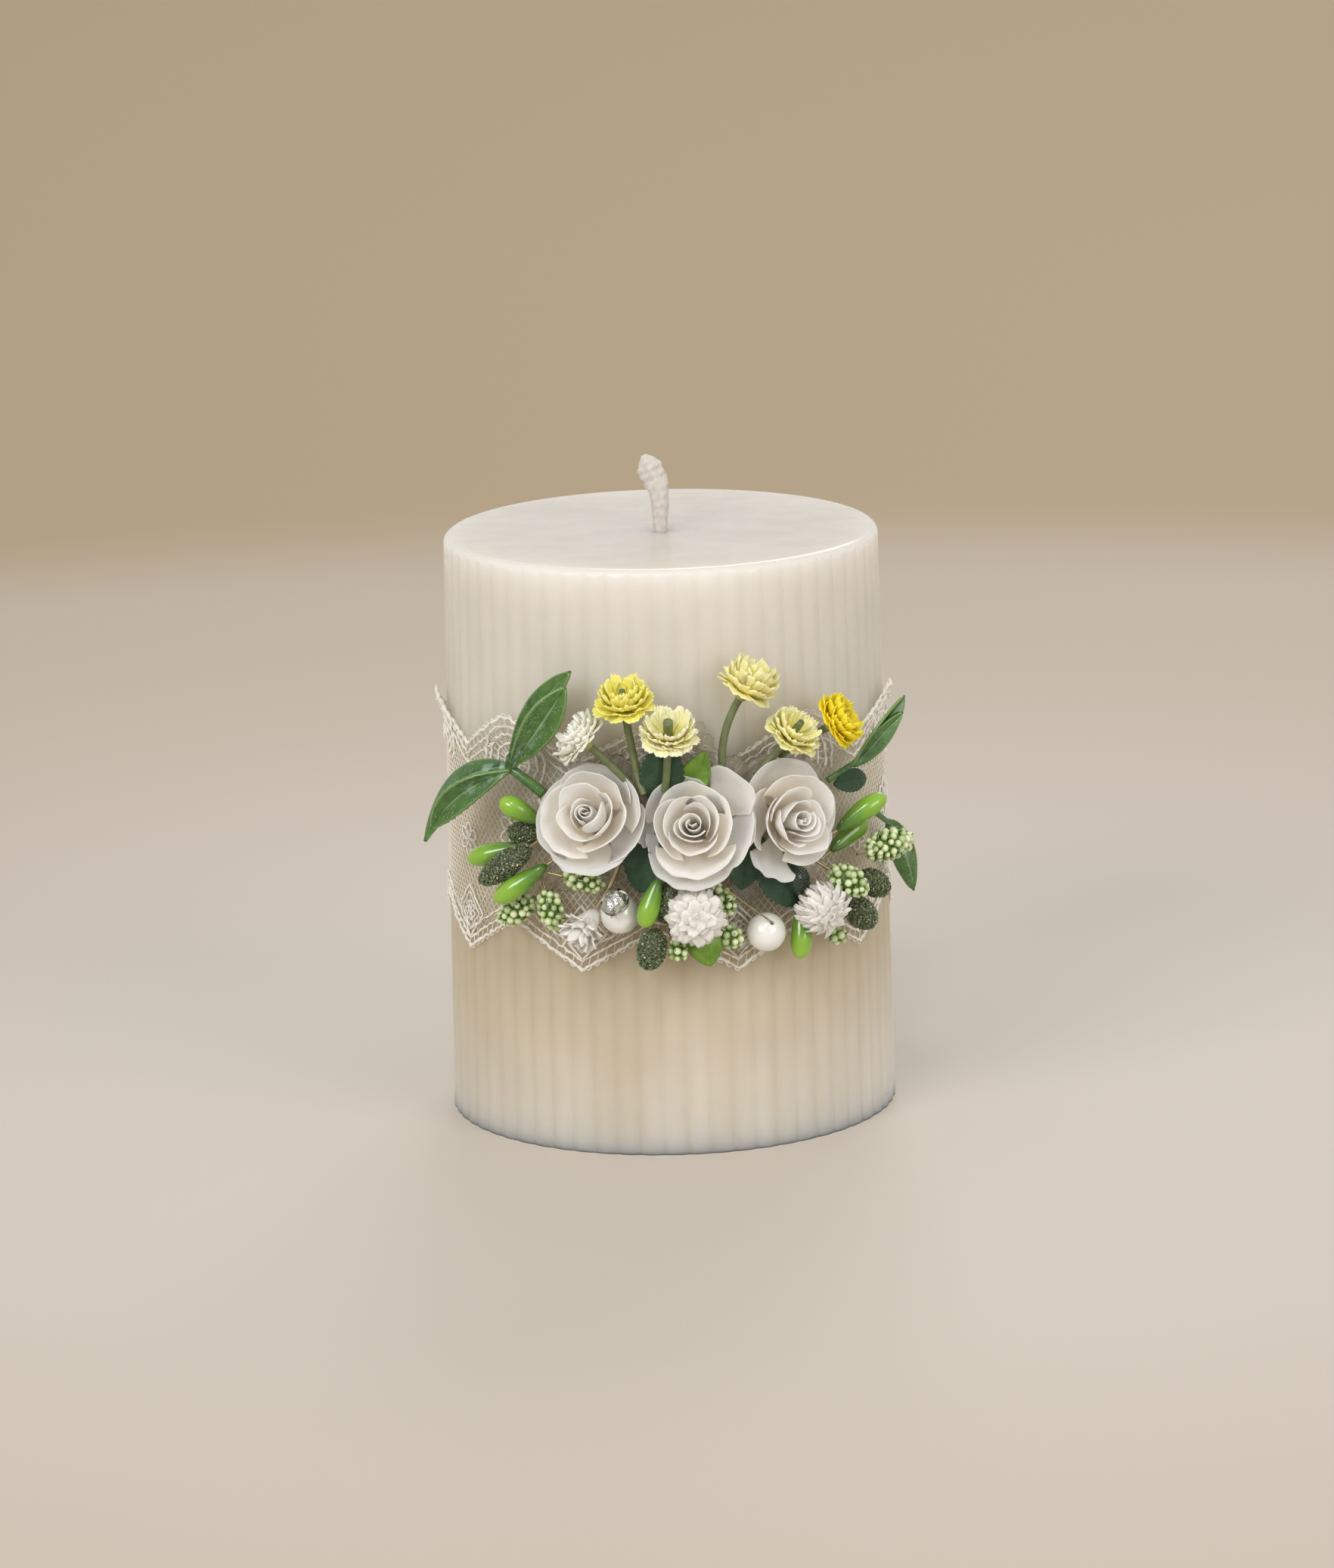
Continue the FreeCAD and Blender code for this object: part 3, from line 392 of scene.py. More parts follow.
def wax_paint():
    wax = Paint("wax", Subsurface_Weight=1.0, Subsurface_Radius=(1.0, 0.85, 0.66),
                Subsurface_Scale=0.022, Specular_IOR_Level=0.5, IOR=1.44)
    level = wax.span(wax.height(), 0.0, 0.1)
    body = wax.ramp(level, [
        (0.0, (0.58, 0.53, 0.455)), (0.30, (0.51, 0.43, 0.30)), (0.44, (0.56, 0.49, 0.36)),
        (0.70, (0.64, 0.605, 0.52)), (1.0, (0.64, 0.615, 0.585))])
    stripe = wax.span(wax.noise(6.5, 2.0, (1.0, 1.0, 0.08)), 0.30, 0.70, 0.4, 1.0)
    group = wax.span(wax.noise(24.0, 2.0, (1.0, 1.0, 0.20)), 0.36, 0.60)
    low = wax.times(wax.span(level, 0.33, 0.12), wax.span(level, 0.0, 0.03, 0.6, 1.0))
    pale = wax.times(wax.times(stripe, group), low)
    body = wax.mix(wax.times(pale, 0.55), body, (0.76, 0.72, 0.66))
    # Painted shade: where the wax faces up it is painted a little darker and warmer. The same mask makes the
    # top glossier.
    top = wax.span(wax.facing_up(), 0.6, 0.95)
    body = wax.mix(top, body, (0.62, 0.575, 0.52))
    cloud = wax.span(wax.noise(14.0, 3.0), 0.3, 0.7, 0.95, 1.03)
    grey = wax.node("ShaderNodeCombineColor", {0: cloud, 1: cloud, 2: cloud}).outputs[0]
    body = wax.mix(1.0, body, grey, "MULTIPLY")
    fleck = wax.span(wax.cells(9.0), 0.035, 0.02)
    body = wax.mix(wax.times(fleck, 0.45), body, (0.30, 0.24, 0.17))
    wax.set(Base_Color=body)
    haze = wax.span(wax.noise(5.0, 4.0), 0.35, 0.7, 0.0, 0.08)
    wax.set(Roughness=wax.math("ADD", wax.span(top, 0, 1, 0.38, 0.14), haze))
    wax.bump(wax.noise(0.9, 4.0), 0.02)
    wax.bump(wax.noise(11.0, 2.0, (1.0, 1.0, 0.4)), 0.10)
    return wax.material


def wick_paint():
    wick = Paint("cotton_wick", Subsurface_Weight=0.3, Subsurface_Radius=(1.0, 0.9, 0.8),
                 Subsurface_Scale=0.001, Roughness=0.45, Sheen_Weight=0.2)
    fibre = wick.noise(0.35, 4.0, (1.0, 1.0, 0.3))
    wick.set(Base_Color=wick.ramp(fibre, [(0.25, (0.50, 0.455, 0.415)), (0.7, (0.63, 0.595, 0.56))]))
    wick.bump(fibre, 0.08)
    return wick.material


def paper_paint():
    paper = Paint("rose_paper", Roughness=0.75, Subsurface_Weight=0.7,
                  Subsurface_Radius=(1.0, 0.88, 0.72), Subsurface_Scale=0.002, Sheen_Weight=0.1,
                  Sheen_Roughness=0.5)
    # Painted shade: the paper is painted darker and warmer towards each petal's root, deep inside the rose,
    # and palest at the rims.
    shade = paper.ramp(paper.value("along"), [
        (0.0, (0.74, 0.58, 0.38)), (0.35, (0.86, 0.76, 0.60)), (0.65, (0.92, 0.87, 0.79)),
        (1.0, (0.94, 0.915, 0.875))])
    white = paper.span(paper.value("tint"), 0.0, 1.0, 0.0, 0.6)
    shade = paper.mix(white, shade, (0.90, 0.895, 0.89))
    pulp = paper.span(paper.noise(0.7, 5.0), 0.3, 0.75, 0.0, 0.10)
    paper.set(Base_Color=paper.mix(pulp, shade, (0.76, 0.71, 0.64)))
    paper.bump(paper.noise(0.35, 4.0), 0.03)
    paper.bump(paper.noise(1.8, 3.0), 0.05)
    return paper.material


def petal_paint(name, root, body, tip):
    """Thin moulded plastic petals that change colour from root to tip."""
    petal = Paint(name, Roughness=0.42, Subsurface_Weight=0.5, Subsurface_Radius=(1.0, 0.85, 0.4),
                  Subsurface_Scale=0.0012, Specular_IOR_Level=0.3)
    shade = petal.ramp(petal.value("along"), [(0.0, root), (0.40, body), (0.95, tip)])
    change = petal.span(petal.value("tint"), 0.0, 1.0, 0.0, 0.35)
    shade = petal.mix(change, shade, tip)
    petal.set(Base_Color=shade)
    petal.bump(petal.noise(0.5, 3.0), 0.03)
    return petal.material


def plain_paint(name, dark, light, size, grain, relief=0.03, detail=3.0, **sockets):
    """A plastic, glue or metal whose colour wanders between two tones.

    size is that of the cloudy colour, and grain is that of the surface's relief, in millimetres.
    """
    plain = Paint(name, **sockets)
    plain.set(Base_Color=plain.ramp(plain.noise(size), [(0.3, dark), (0.7, light)]))
    plain.bump(plain.noise(grain, detail), relief)
    return plain.material


def leaf_paint():
    """Waxy green, with a pale rib and rim, patches of sugar and a painted whitish sheen along the rib near
    the root.
    """
    leaf = Paint("leaf_plastic", Roughness=0.30, Coat_Weight=0.3, Coat_Roughness=0.10,
                 Specular_IOR_Level=0.45)
    across, along = leaf.value("tint"), leaf.value("along")
    body = leaf.ramp(leaf.noise(2.2, 3.0), [
        (0.3, (0.022, 0.075, 0.012)), (0.7, (0.065, 0.165, 0.026))])
    body = leaf.mix(leaf.span(along, 0.35, 1.0, 0.0, 0.40), body, (0.11, 0.24, 0.045))
    rib = leaf.span(across, 0.14, 0.02)
    body = leaf.mix(leaf.times(rib, 0.5), body, (0.34, 0.46, 0.27))
    rim = leaf.span(across, 0.86, 1.0)
    body = leaf.mix(leaf.times(rim, 0.5), body, (0.26, 0.42, 0.14))
    speck = leaf.span(leaf.cells(0.30), 0.27, 0.10)
    patch = leaf.span(leaf.noise(2.6, 2.0), 0.46, 0.62)
    sugar = leaf.times(leaf.times(speck, patch), 0.85)
    body = leaf.mix(sugar, body, (0.70, 0.82, 0.72))
    # Painted sheen: a whitish shimmer painted along the rib near the root.
    sheen_streak = leaf.span(leaf.noise(1.6, 4.0), 0.50, 0.66)
    painted_sheen = leaf.times(leaf.times(sheen_streak, leaf.span(across, 0.7, 0.1)),
                      leaf.span(along, 0.8, 0.1))
    body = leaf.mix(leaf.times(painted_sheen, 0.55), body, (0.50, 0.66, 0.60))
    leaf.set(Base_Color=body)
    leaf.bump(leaf.noise(0.8, 4.0), 0.07)
    leaf.bump(speck, 0.05, 0.5)
    return leaf.material


def bud_paint():
    bud = Paint("bud_plastic", Roughness=0.2, Coat_Weight=0.6, Coat_Roughness=0.06,
                Subsurface_Weight=0.25, Subsurface_Radius=(0.6, 1.0, 0.2), Subsurface_Scale=0.0012)
    shade = bud.ramp(bud.value("along"), [
        (0.0, (0.03, 0.10, 0.012)), (0.28, (0.08, 0.22, 0.015)), (0.62, (0.19, 0.39, 0.022)),
        (1.0, (0.27, 0.47, 0.035))])
    shade = bud.mix(bud.value("tint"), shade, (0.09, 0.16, 0.02))
    cloud = bud.span(bud.noise(2.0), 0.35, 0.7, 0, 0.2)
    bud.set(Base_Color=bud.mix(cloud, shade, (0.36, 0.58, 0.07)))
    bud.bump(bud.noise(1.6, 2.0), 0.05)
    return bud.material


def pod_paint():
    pod = Paint("pod_plastic", Specular_IOR_Level=0.6, Coat_Weight=0.3, Coat_Roughness=0.1)
    # Painted glint: the palest tone, at the top of the tint range, stands for sparkle on the sugar; a few
    # granules take it.
    pod.set(Base_Color=pod.ramp(pod.value("tint"), [
        (0.0, (0.035, 0.045, 0.018)), (0.35, (0.10, 0.13, 0.055)), (0.75, (0.21, 0.26, 0.13)),
        (1.0, (0.62, 0.68, 0.50))]))
    pod.set(Roughness=pod.span(pod.value("tint"), 0.3, 1.0, 0.45, 0.15))
    pod.bump(pod.noise(0.3, 3.0), 0.03)
    return pod.material


def seed_paint():
    seed = Paint("seed_plastic", Roughness=0.28, Subsurface_Weight=0.35, Subsurface_Radius=(0.8, 1.0, 0.5),
                 Subsurface_Scale=0.0008, Coat_Weight=0.25, Coat_Roughness=0.15)
    # Partly painted shade: each bead runs from near-black green at its foot, where it meets the core and its
    # neighbours, to pale at its outer tip; the green itself is the beads' own.
    shade = seed.ramp(seed.value("along"), [
        (0.0, (0.014, 0.035, 0.008)), (0.28, (0.07, 0.15, 0.025)), (0.55, (0.36, 0.50, 0.16)),
        (0.80, (0.68, 0.76, 0.44)), (1.0, (0.80, 0.84, 0.60))])
    dark = seed.span(seed.value("tint"), 0.0, 1.0, 0.0, 0.6)
    seed.set(Base_Color=seed.mix(dark, shade, (0.15, 0.27, 0.05)))
    seed.bump(seed.noise(0.4, 2.0), 0.02)
    return seed.material


def pearl_paint():
    pearl = Paint("pearl", Roughness=0.28, Coat_Weight=1.0, Coat_Roughness=0.08, Specular_IOR_Level=0.9,
                  Subsurface_Weight=0.2, Subsurface_Radius=(1.0, 0.95, 0.85), Subsurface_Scale=0.0025)
    # Painted light and shade: by which way the surface faces, the pearl's underside is painted paler and its
    # top darker and greener.
    tilt = pearl.span(pearl.facing_up(), -0.9, 0.9)
    body = pearl.ramp(tilt, [
        (0.0, (0.84, 0.83, 0.80)), (0.5, (0.80, 0.79, 0.75)), (1.0, (0.70, 0.71, 0.60))])
    cloud = pearl.span(pearl.noise(3.0, 2.0), 0.45, 0.60, 0.0, 0.6)
    pearl.set(Base_Color=pearl.mix(cloud, body, (0.84, 0.83, 0.80)))
    pearl.bump(pearl.noise(1.6, 2.0), 0.01)
    return pearl.material


def lace_paint():
    lace = Paint("lace", Roughness=0.8, Sheen_Weight=0.3, Subsurface_Weight=0.5,
                 Subsurface_Radius=(1.0, 0.92, 0.8), Subsurface_Scale=0.0012)
    strand = lace.noise(0.28, 3.0)
    cord = lace.ramp(strand, [(0.3, (0.86, 0.80, 0.70)), (0.7, (0.91, 0.87, 0.79))])
    lace.set(Base_Color=lace.mix(lace.value("tint"), (0.82, 0.75, 0.60), cord))
    lace.bump(strand, 0.05)
    return lace.material


def fabric_paint():
    """Dark green open-weave leaf cloth, with two sets of threads and bright glints where they cross."""
    cloth = Paint("leaf_fabric", Roughness=0.55, Sheen_Weight=0.35, Sheen_Roughness=0.35)
    pitch = 0.30 * MM
    bands = []
    for turn in (0.75, -0.82):
        wave = cloth.node("ShaderNodeTexWave", {
            "Vector": cloth.where((1, 1, 1), (0, turn, 0)), "Scale": TAU / 20 / pitch,
            "Distortion": 0.4}, wave_type="BANDS", bands_direction="X")
        bands.append(wave.outputs["Fac"])
    weave = cloth.times(*bands)
    shade = cloth.ramp(weave, [(0.05, (0.007, 0.030, 0.011)), (0.6, (0.020, 0.080, 0.028)),
                               (0.97, (0.05, 0.15, 0.06))])
    patch = cloth.span(cloth.noise(2.2, 2.0), 0.54, 0.68)
    glint = cloth.times(cloth.span(weave, 0.70, 0.95), patch)
    cloth.set(Base_Color=cloth.mix(glint, shade, (0.30, 0.48, 0.36)))
    cloth.bump(weave, 0.05)
    return cloth.material


def clear_paint():
    clear = Paint("clear_acrylic", Base_Color=(0.97, 0.97, 0.95), Roughness=0.03, Transmission_Weight=1.0,
                  IOR=1.49)
    clear.bump(clear.noise(1.2, 2.0), 0.03)
    return clear.material


WAX, WICK, PAPER, LEAF, BUD = wax_paint(), wick_paint(), paper_paint(), leaf_paint(), bud_paint()
POD, SEED, PEARL, LACE, CLOTH = pod_paint(), seed_paint(), pearl_paint(), lace_paint(), fabric_paint()
CLEAR = clear_paint()
GLUE = plain_paint("hot_glue", (0.95, 0.91, 0.82), (0.99, 0.975, 0.94), 4.0, 1.2, 0.2,
                   Roughness=0.07, Transmission_Weight=0.9, IOR=1.45)
SILVER = plain_paint("silver_lining", (0.62, 0.63, 0.65), (0.93, 0.94, 0.95), 0.7, 0.9, 0.25, 2.0,
                     Metallic=1.0, Roughness=0.12)
WIRE = plain_paint("wire_steel", (0.24, 0.20, 0.10), (0.42, 0.35, 0.20), 1.0, 0.3, 0.01,
                   Metallic=0.8, Roughness=0.35)
STEM = plain_paint("stem_plastic", (0.10, 0.13, 0.05), (0.17, 0.20, 0.09), 2.0, 0.8, Roughness=0.5)
CALYX = plain_paint("calyx_plastic", (0.25, 0.29, 0.08), (0.42, 0.42, 0.13), 1.5, 0.6, Roughness=0.5)
WHITE = plain_paint("white_plastic", (0.76, 0.72, 0.66), (0.86, 0.84, 0.80), 2.0, 0.8, Roughness=0.4,
                    Subsurface_Weight=0.3, Subsurface_Radius=(1.0, 0.95, 0.9),
                    Subsurface_Scale=0.0012)
BRACT = plain_paint("bract_plastic", (0.10, 0.21, 0.015), (0.20, 0.36, 0.04), 2.0, 0.8, Roughness=0.4)
TAB = plain_paint("tab_metal", (0.55, 0.55, 0.54), (0.72, 0.72, 0.71), 3.0, 1.2, 0.02,
                  Metallic=1.0, Roughness=0.35)
PETALS = {name: petal_paint(label, *tones) for name, label, tones in (
    ("pale_left", "petals_cream", ((0.90, 0.86, 0.48), (0.95, 0.93, 0.68), (0.96, 0.95, 0.80))),
    ("bright_left", "petals_bright", ((0.95, 0.74, 0.03), (0.97, 0.85, 0.06), (0.97, 0.90, 0.24))),
    ("pale_middle", "petals_lemon", ((0.95, 0.78, 0.10), (0.97, 0.88, 0.28), (0.97, 0.94, 0.58))),
    ("pale_tall", "petals_soft", ((0.90, 0.74, 0.13), (0.93, 0.82, 0.25), (0.94, 0.87, 0.40))),
    ("bright_right", "petals_sunny", ((0.95, 0.76, 0.06), (0.97, 0.86, 0.14), (0.97, 0.93, 0.48))),
    ("deep_right", "petals_deep", ((0.92, 0.58, 0.01), (0.94, 0.66, 0.01), (0.95, 0.75, 0.03))),
)}


def finish_cad(node, material):
    """Gives a CAD node that stays in view its better material."""
    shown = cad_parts[node]
    shown.data.materials.clear()
    shown.data.materials.append(material)


# ---------------------------------------------------------------- wick
def make_wick():
    """A braided wick that leans at the top and swells into a waxy head."""
    low, high = corners_of("wick")
    tip = high[2]
    lean = 12.0  # radius of the bend
    sides = 28
    path = [(0, 0, low[2]), (0, 0, 60), (0, 0, 96)]
    path += [(0, 0, height) for height in np.arange(97, 105, 0.25)]
    for turn in np.radians(np.arange(2, 25, 1.5)):
        path.append((-lean * (1 - math.cos(turn)), 0, 104.5 + lean * math.sin(turn)))
    path = np.array(path, float)
    last = unit(path[-1] - path[-2])
    path = np.concatenate([path, path[-1] + last * np.arange(0.25, 3.6, 0.25)[:, None]])
    path[:, 2] = np.minimum(path[:, 2], tip)
    rise = path[:, 2]
    wide = 1.28 + 0.34 * smooth(rise, 100, 105) + 0.42 * smooth(rise, 105.5, 108.0)
    wide = wide * (1 - 0.85 * smooth(rise, 110.6, tip + 0.5))
    flat = 1 - 0.38 * smooth(rise, 105, 109)
    rings = rings_along(path, wide, sides, (1, 0, 0), flat)
    turn = circle_of(sides)[None, :]
    climb = rise[:, None] * 1.9
    plait = np.sin(2 * turn + climb) * np.sin(2 * turn - climb)
    head = smooth(rise, 106, 110)[:, None]
    relief = 0.055 * plait * smooth(rise, 97, 99)[:, None] * (1 - 0.5 * head)
    relief = relief + (0.04 + 0.13 * head) * ripple(rings, 1.6, 4)
    centre = path[:, None]
    rings = rings + (rings - centre) * relief[..., None]
    shape = Shape()
    shape.closed(rings, 0.5)
    shape.build("wick_braid", WICK, ["wick"])


# ---------------------------------------------------------------- lace
LACE_REPEATS = 9
LACE_PEAK_ANGLE = -3.0


def make_lace():
    """An openwork band: wavy corded zigzag edges, a fine net, scalloped fans in the peaks and rosettes."""
    low, high = corners_of("lace_band")
    foot, head = low[2], high[2]
    step = 360 / LACE_REPEATS
    per_degree = math.radians(1) * (WAX_FOOT + 0.1)  # millimetres of cloth in a degree
    swing = 7.6  # height of the zigzag
    band = 1.5  # depth of the corded border

    def reach(height):
        """How far out the cloth lies: on the wax, and lifting off it at the tips of the peaks."""
        return WAX_FOOT - WAX_TAPER * height + 0.18 + 1.7 * smooth(height, head - 7.5, head)

    def wave(angle):
        """0 at the bottom of the zigzag and 1 at its peaks, a little rounded."""
        part = np.abs(((angle - LACE_PEAK_ANGLE) / step + 0.5) % 1 - 0.5) * 2
        return 1 - np.sqrt(part**2 + 0.006) * 0.985

    def edge(angle, inset):
        """Height of the top edge, moved inwards by inset."""
        return head - swing - 0.2 + swing * wave(angle) - inset

    def hem(angle, inset):
        """Height of the bottom edge, moved inwards by inset."""
        return foot + 0.2 + swing * wave(angle) + inset

    shape = Shape()

    def thread(angle, height, radius, sides=5, out=0.0, kink=0.0, shade=1.0):
        """One thread through a line of places on the cloth. kink makes it wander."""
        angle, height = np.asarray(angle, float), np.asarray(height, float)
        path = place(angle, height, reach(height) + out)
        if kink:
            path = path + kink * np.stack([ripple(path, 1.3, seed) for seed in (1, 2, 3)], -1)
        normal = radial(angle)
        tangent = unit(np.gradient(path, axis=0))
        other = unit(np.cross(tangent, normal))
        turn = circle_of(sides)
        size = radius * (1 + (0.35 * ripple(path, 0.9, 5)[:, None, None] if kink else 0))
        ring = path[:, None] + size * (np.cos(turn)[None, :, None] * normal[:, None]
                                       + np.sin(turn)[None, :, None] * other[:, None])
        shape.closed(ring, shade)

    all_round = np.linspace(-180 + 2, 180 + 8, 1100)
    for inset, radius in ((0.0, 0.26), (band, 0.19), (3.1, 0.16)):
        for line in (edge, hem):
            thread(all_round, line(all_round, inset), radius, 6, 0.05, 0.14)
    picot = np.linspace(0, math.pi, 7)
    across = 0.55 / per_degree
    for start in np.arange(-178, 187, band / per_degree):
        for line, sign in ((edge, 1), (hem, -1)):
            angle = start - across * np.cos(picot)
            thread(angle, line(angle, 0) + sign * 0.62 * np.sin(picot), 0.12, 4)
        rung = np.array([start, start + across * 0.6])
        for line in (edge, hem):
            thread(rung, np.array([line(rung, 0.1)[0], line(rung, band)[1]]), 0.10, 4)
    net = 1.05  # spacing of the net's threads
    for sign in (1, -1):
        for start in np.arange(-4 * step, 360, net * 1.25 / per_degree):
            height = np.arange(foot, head, 0.9)
            angle = start + sign * (height - foot) / per_degree * 0.8 - 180 + (0 if sign > 0 else 40)
            inside = (height < edge(angle, band)) & (height > hem(angle, band))
            inside &= (angle > -178) & (angle < 188)
            for run in np.split(np.arange(len(height)), np.where(~inside)[0]):
                run = run[inside[run]]
                if len(run) > 2:
                    thread(angle[run], height[run], 0.09, 4, -0.10, shade=0.0)
    circle = np.linspace(0, TAU, 25)
    for repeat in range(LACE_REPEATS):
        peak = LACE_PEAK_ANGLE + repeat * step - 160
        fan = np.radians(np.linspace(-25, 205, 60))
        hub = head - 8.8
        for radius in (1.7, 3.3, 4.9, 6.3):
            angle = peak + radius * 1.1 * np.cos(fan) / per_degree
            thread(angle, hub + radius * np.sin(fan), 0.22, 5, 0.14, 0.17)
        length = np.linspace(1.0, 6.6, 5)
        for spoke in np.radians(np.linspace(-10, 190, 13)):
            angle = peak + length * 1.1 * np.cos(spoke) / per_degree
            thread(angle, hub + length * np.sin(spoke), 0.10, 4)
        tip = peak + step / 2
        centre = foot + 6.6
        fine = np.linspace(0, 4, 49)
        wide = np.interp(fine, range(5), (0, 1, 0, -1, 0))
        up = np.interp(fine, range(5), (-1, 0, 1, 0, -1))
        for size in (1.0, 0.72):
            angle = tip + wide * 4.4 * size / per_degree
            thread(angle, centre + up * 4.6 * size, 0.17, 5, 0.10, 0.10)
        flowers = [(tip, centre, 1.7, 7), (peak, foot + 22.5, 3.4, 6), (tip, foot + 19.0, 2.8, 6),
                   (tip, foot + 28.5, 2.2, 6)]
        for spot, level, size, lobes in flowers:
            for lobe in range(lobes):
                way = lobe * TAU / lobes + 0.5
                loop = 0.58 + 0.45 * np.cos(circle)
                side = 0.30 * np.sin(circle)
                x = (loop * math.cos(way) - side * math.sin(way)) * size
                y = (loop * math.sin(way) + side * math.cos(way)) * size
                thread(spot + x / per_degree, level + y, 0.16, 5, 0.12, 0.06)
    lace = shape.build("lace_threads", LACE, ["lace_band"])


# ---------------------------------------------------------------- glue
def make_glue():
    """Hot glue between the lace and the flowers: a lumpy pad, with wet beads between the stems."""
    angle, height = np.meshgrid(np.arange(-46, 54, 0.5), np.arange(38, 79, 0.35))
    per_degree = 0.68
    base = WAX_FOOT + 0.45
    depth = np.full_like(angle, -1.5)
    blobs = [  # angle, height, half width, half height, thickness
        (2, 56, 23, 8.5, 2.2), (-20, 65.5, 3.2, 2.2, 1.2), (-13, 66.5, 2.6, 2.4, 1.2),
        (-4, 65.5, 3.0, 2.4, 1.2), (6.5, 66.5, 2.2, 2.6, 1.3), (9.8, 70.2, 1.5, 2.0, 1.2),
        (12.2, 66.6, 2.2, 2.4, 1.6), (8.2, 73.2, 1.1, 1.2, 0.9), (17, 66.0, 2.0, 2.0, 1.2),
        (24, 65.5, 2.6, 2.2, 1.2), (31, 65.0, 2.4, 2.4, 1.3), (37, 62.5, 2.4, 3.2, 1.4),
        (-33, 59, 2.2, 3.2, 1.2), (-27, 47.5, 3.0, 1.8, 1.0), (20, 45.5, 3.0, 2.0, 1.1),
        (38, 48, 2.6, 2.4, 1.2),
    ]
    for spot, level, wide, tall, thick in blobs:
        away = ((angle - spot) * per_degree / wide) ** 2 + ((height - level) / tall) ** 2
        depth = np.maximum(depth, thick * (1 - away))
    points = place(angle, height, base)
    depth = depth + 0.30 * ripple(points, 2.6, 21) + 0.16 * ripple(points, 1.1, 22)
    keep = depth > -0.55
    outer = place(angle, height, base + np.maximum(depth, -0.6))
    inner = place(angle, height, base - 0.62)
    count = angle.size
    cell = keep[:-1, :-1] & keep[1:, :-1] & keep[:-1, 1:] & keep[1:, 1:]
    quads = quads_of(*angle.shape)[cell]
    sides = {(quad[k], quad[(k + 1) % 4]) for quad in quads.tolist() for k in range(4)}
    rim = [(end, start, start + count, end + count)
           for start, end in sorted(sides) if (end, start) not in sides]
    faces = np.concatenate([quads, quads[:, ::-1] + count, np.array(rim)])
    used = np.unique(faces)
    renumber = np.full(2 * count, -1)
    renumber[used] = np.arange(len(used))
    shape = Shape()
    shape.add(np.concatenate([outer.reshape(-1, 3), inner.reshape(-1, 3)])[used], renumber[faces])
    shape.build("glue_blobs", GLUE, ["glue_bed"])


def make_seam_glue():
    """The lumpy bead down the lap of the lace, at the back."""
    low, high = corners_of("lace_seam_glue")
    middle = (low + high) / 2
    level = np.linspace(low[2], high[2], 50)
    wander = 0.4 * np.sin(level * 0.9) + 0.25 * np.sin(level * 2.3 + 1)
    reach = math.hypot(middle[0], middle[1]) - WAX_TAPER * (level - middle[2])
    angle = math.degrees(math.atan2(middle[0], -middle[1])) + wander
    size = 0.75 + 0.22 * np.sin(level * 1.7) + 0.14 * np.sin(level * 4.1 + 2)
    size[[0, -1]] = 0.25
    shape = Shape()
    shape.closed(rings_along(place(angle, level, reach), size, 14, radial(angle[0]), 0.75))
    shape.build("seam_glue_bead", GLUE, ["lace_seam_glue"])


# ---------------------------------------------------------------- roses
def rose_petal(turn, half, reach, rise, curl, point, ragged, seed):
    """Rows of points of one paper petal about the rose's axis, and how far along it each one is.

    turn and half are the middle and the half width in degrees, reach and rise are how far out and
    how high its rim comes, curl is how far the rim rolls back, point draws one corner out, and
    ragged roughens the rim.
    """
    random = draws(seed)
    part = np.linspace(0, 1, 21)[:, None]
    side = np.linspace(-1, 1, 29)[None, :]
    phases = random.uniform(0, TAU, 5)
    nick = sum(np.sin(side * rate + phase) for rate, phase in zip((9, 15, 23), phases)) / 3
    corner = random.choice([-0.45, 0.35])
    outline = 1 - 0.34 * np.abs(side) ** 3.2 + point * np.exp(-(((side - corner) / 0.22) ** 2))
    outline = outline + (0.012 + ragged) * nick
    along = part * outline
    spread = 0.45 + 0.55 * np.sin(np.minimum(along, 1) * math.pi / 2)
    spin = math.radians(turn) + math.radians(half) * side * spread
    foot = 0.9 + 0.14 * reach
    low = max(0.22 * rise - 0.4, 0.2)
    rest = 1 - along
    out = foot + (reach - foot) * (1 - rest * np.abs(rest))
    up = low + (rise - low) * along**1.35
    roll = smooth(along, 0.74, 1.06)
    out = out + curl * roll**1.4 + 0.34 * side * along
    up = up - 0.75 * curl * roll**2
    out = out + 0.16 * np.sin(4.2 * side + phases[3]) * along**2
    up = up + 0.30 * np.sin(3.3 * side + phases[4]) * along**2
    points = turned(out, up, spin)
    points = points + 0.13 * ripple(points, 3.0, seed + 100)[..., None] * along[..., None]
    return points, along


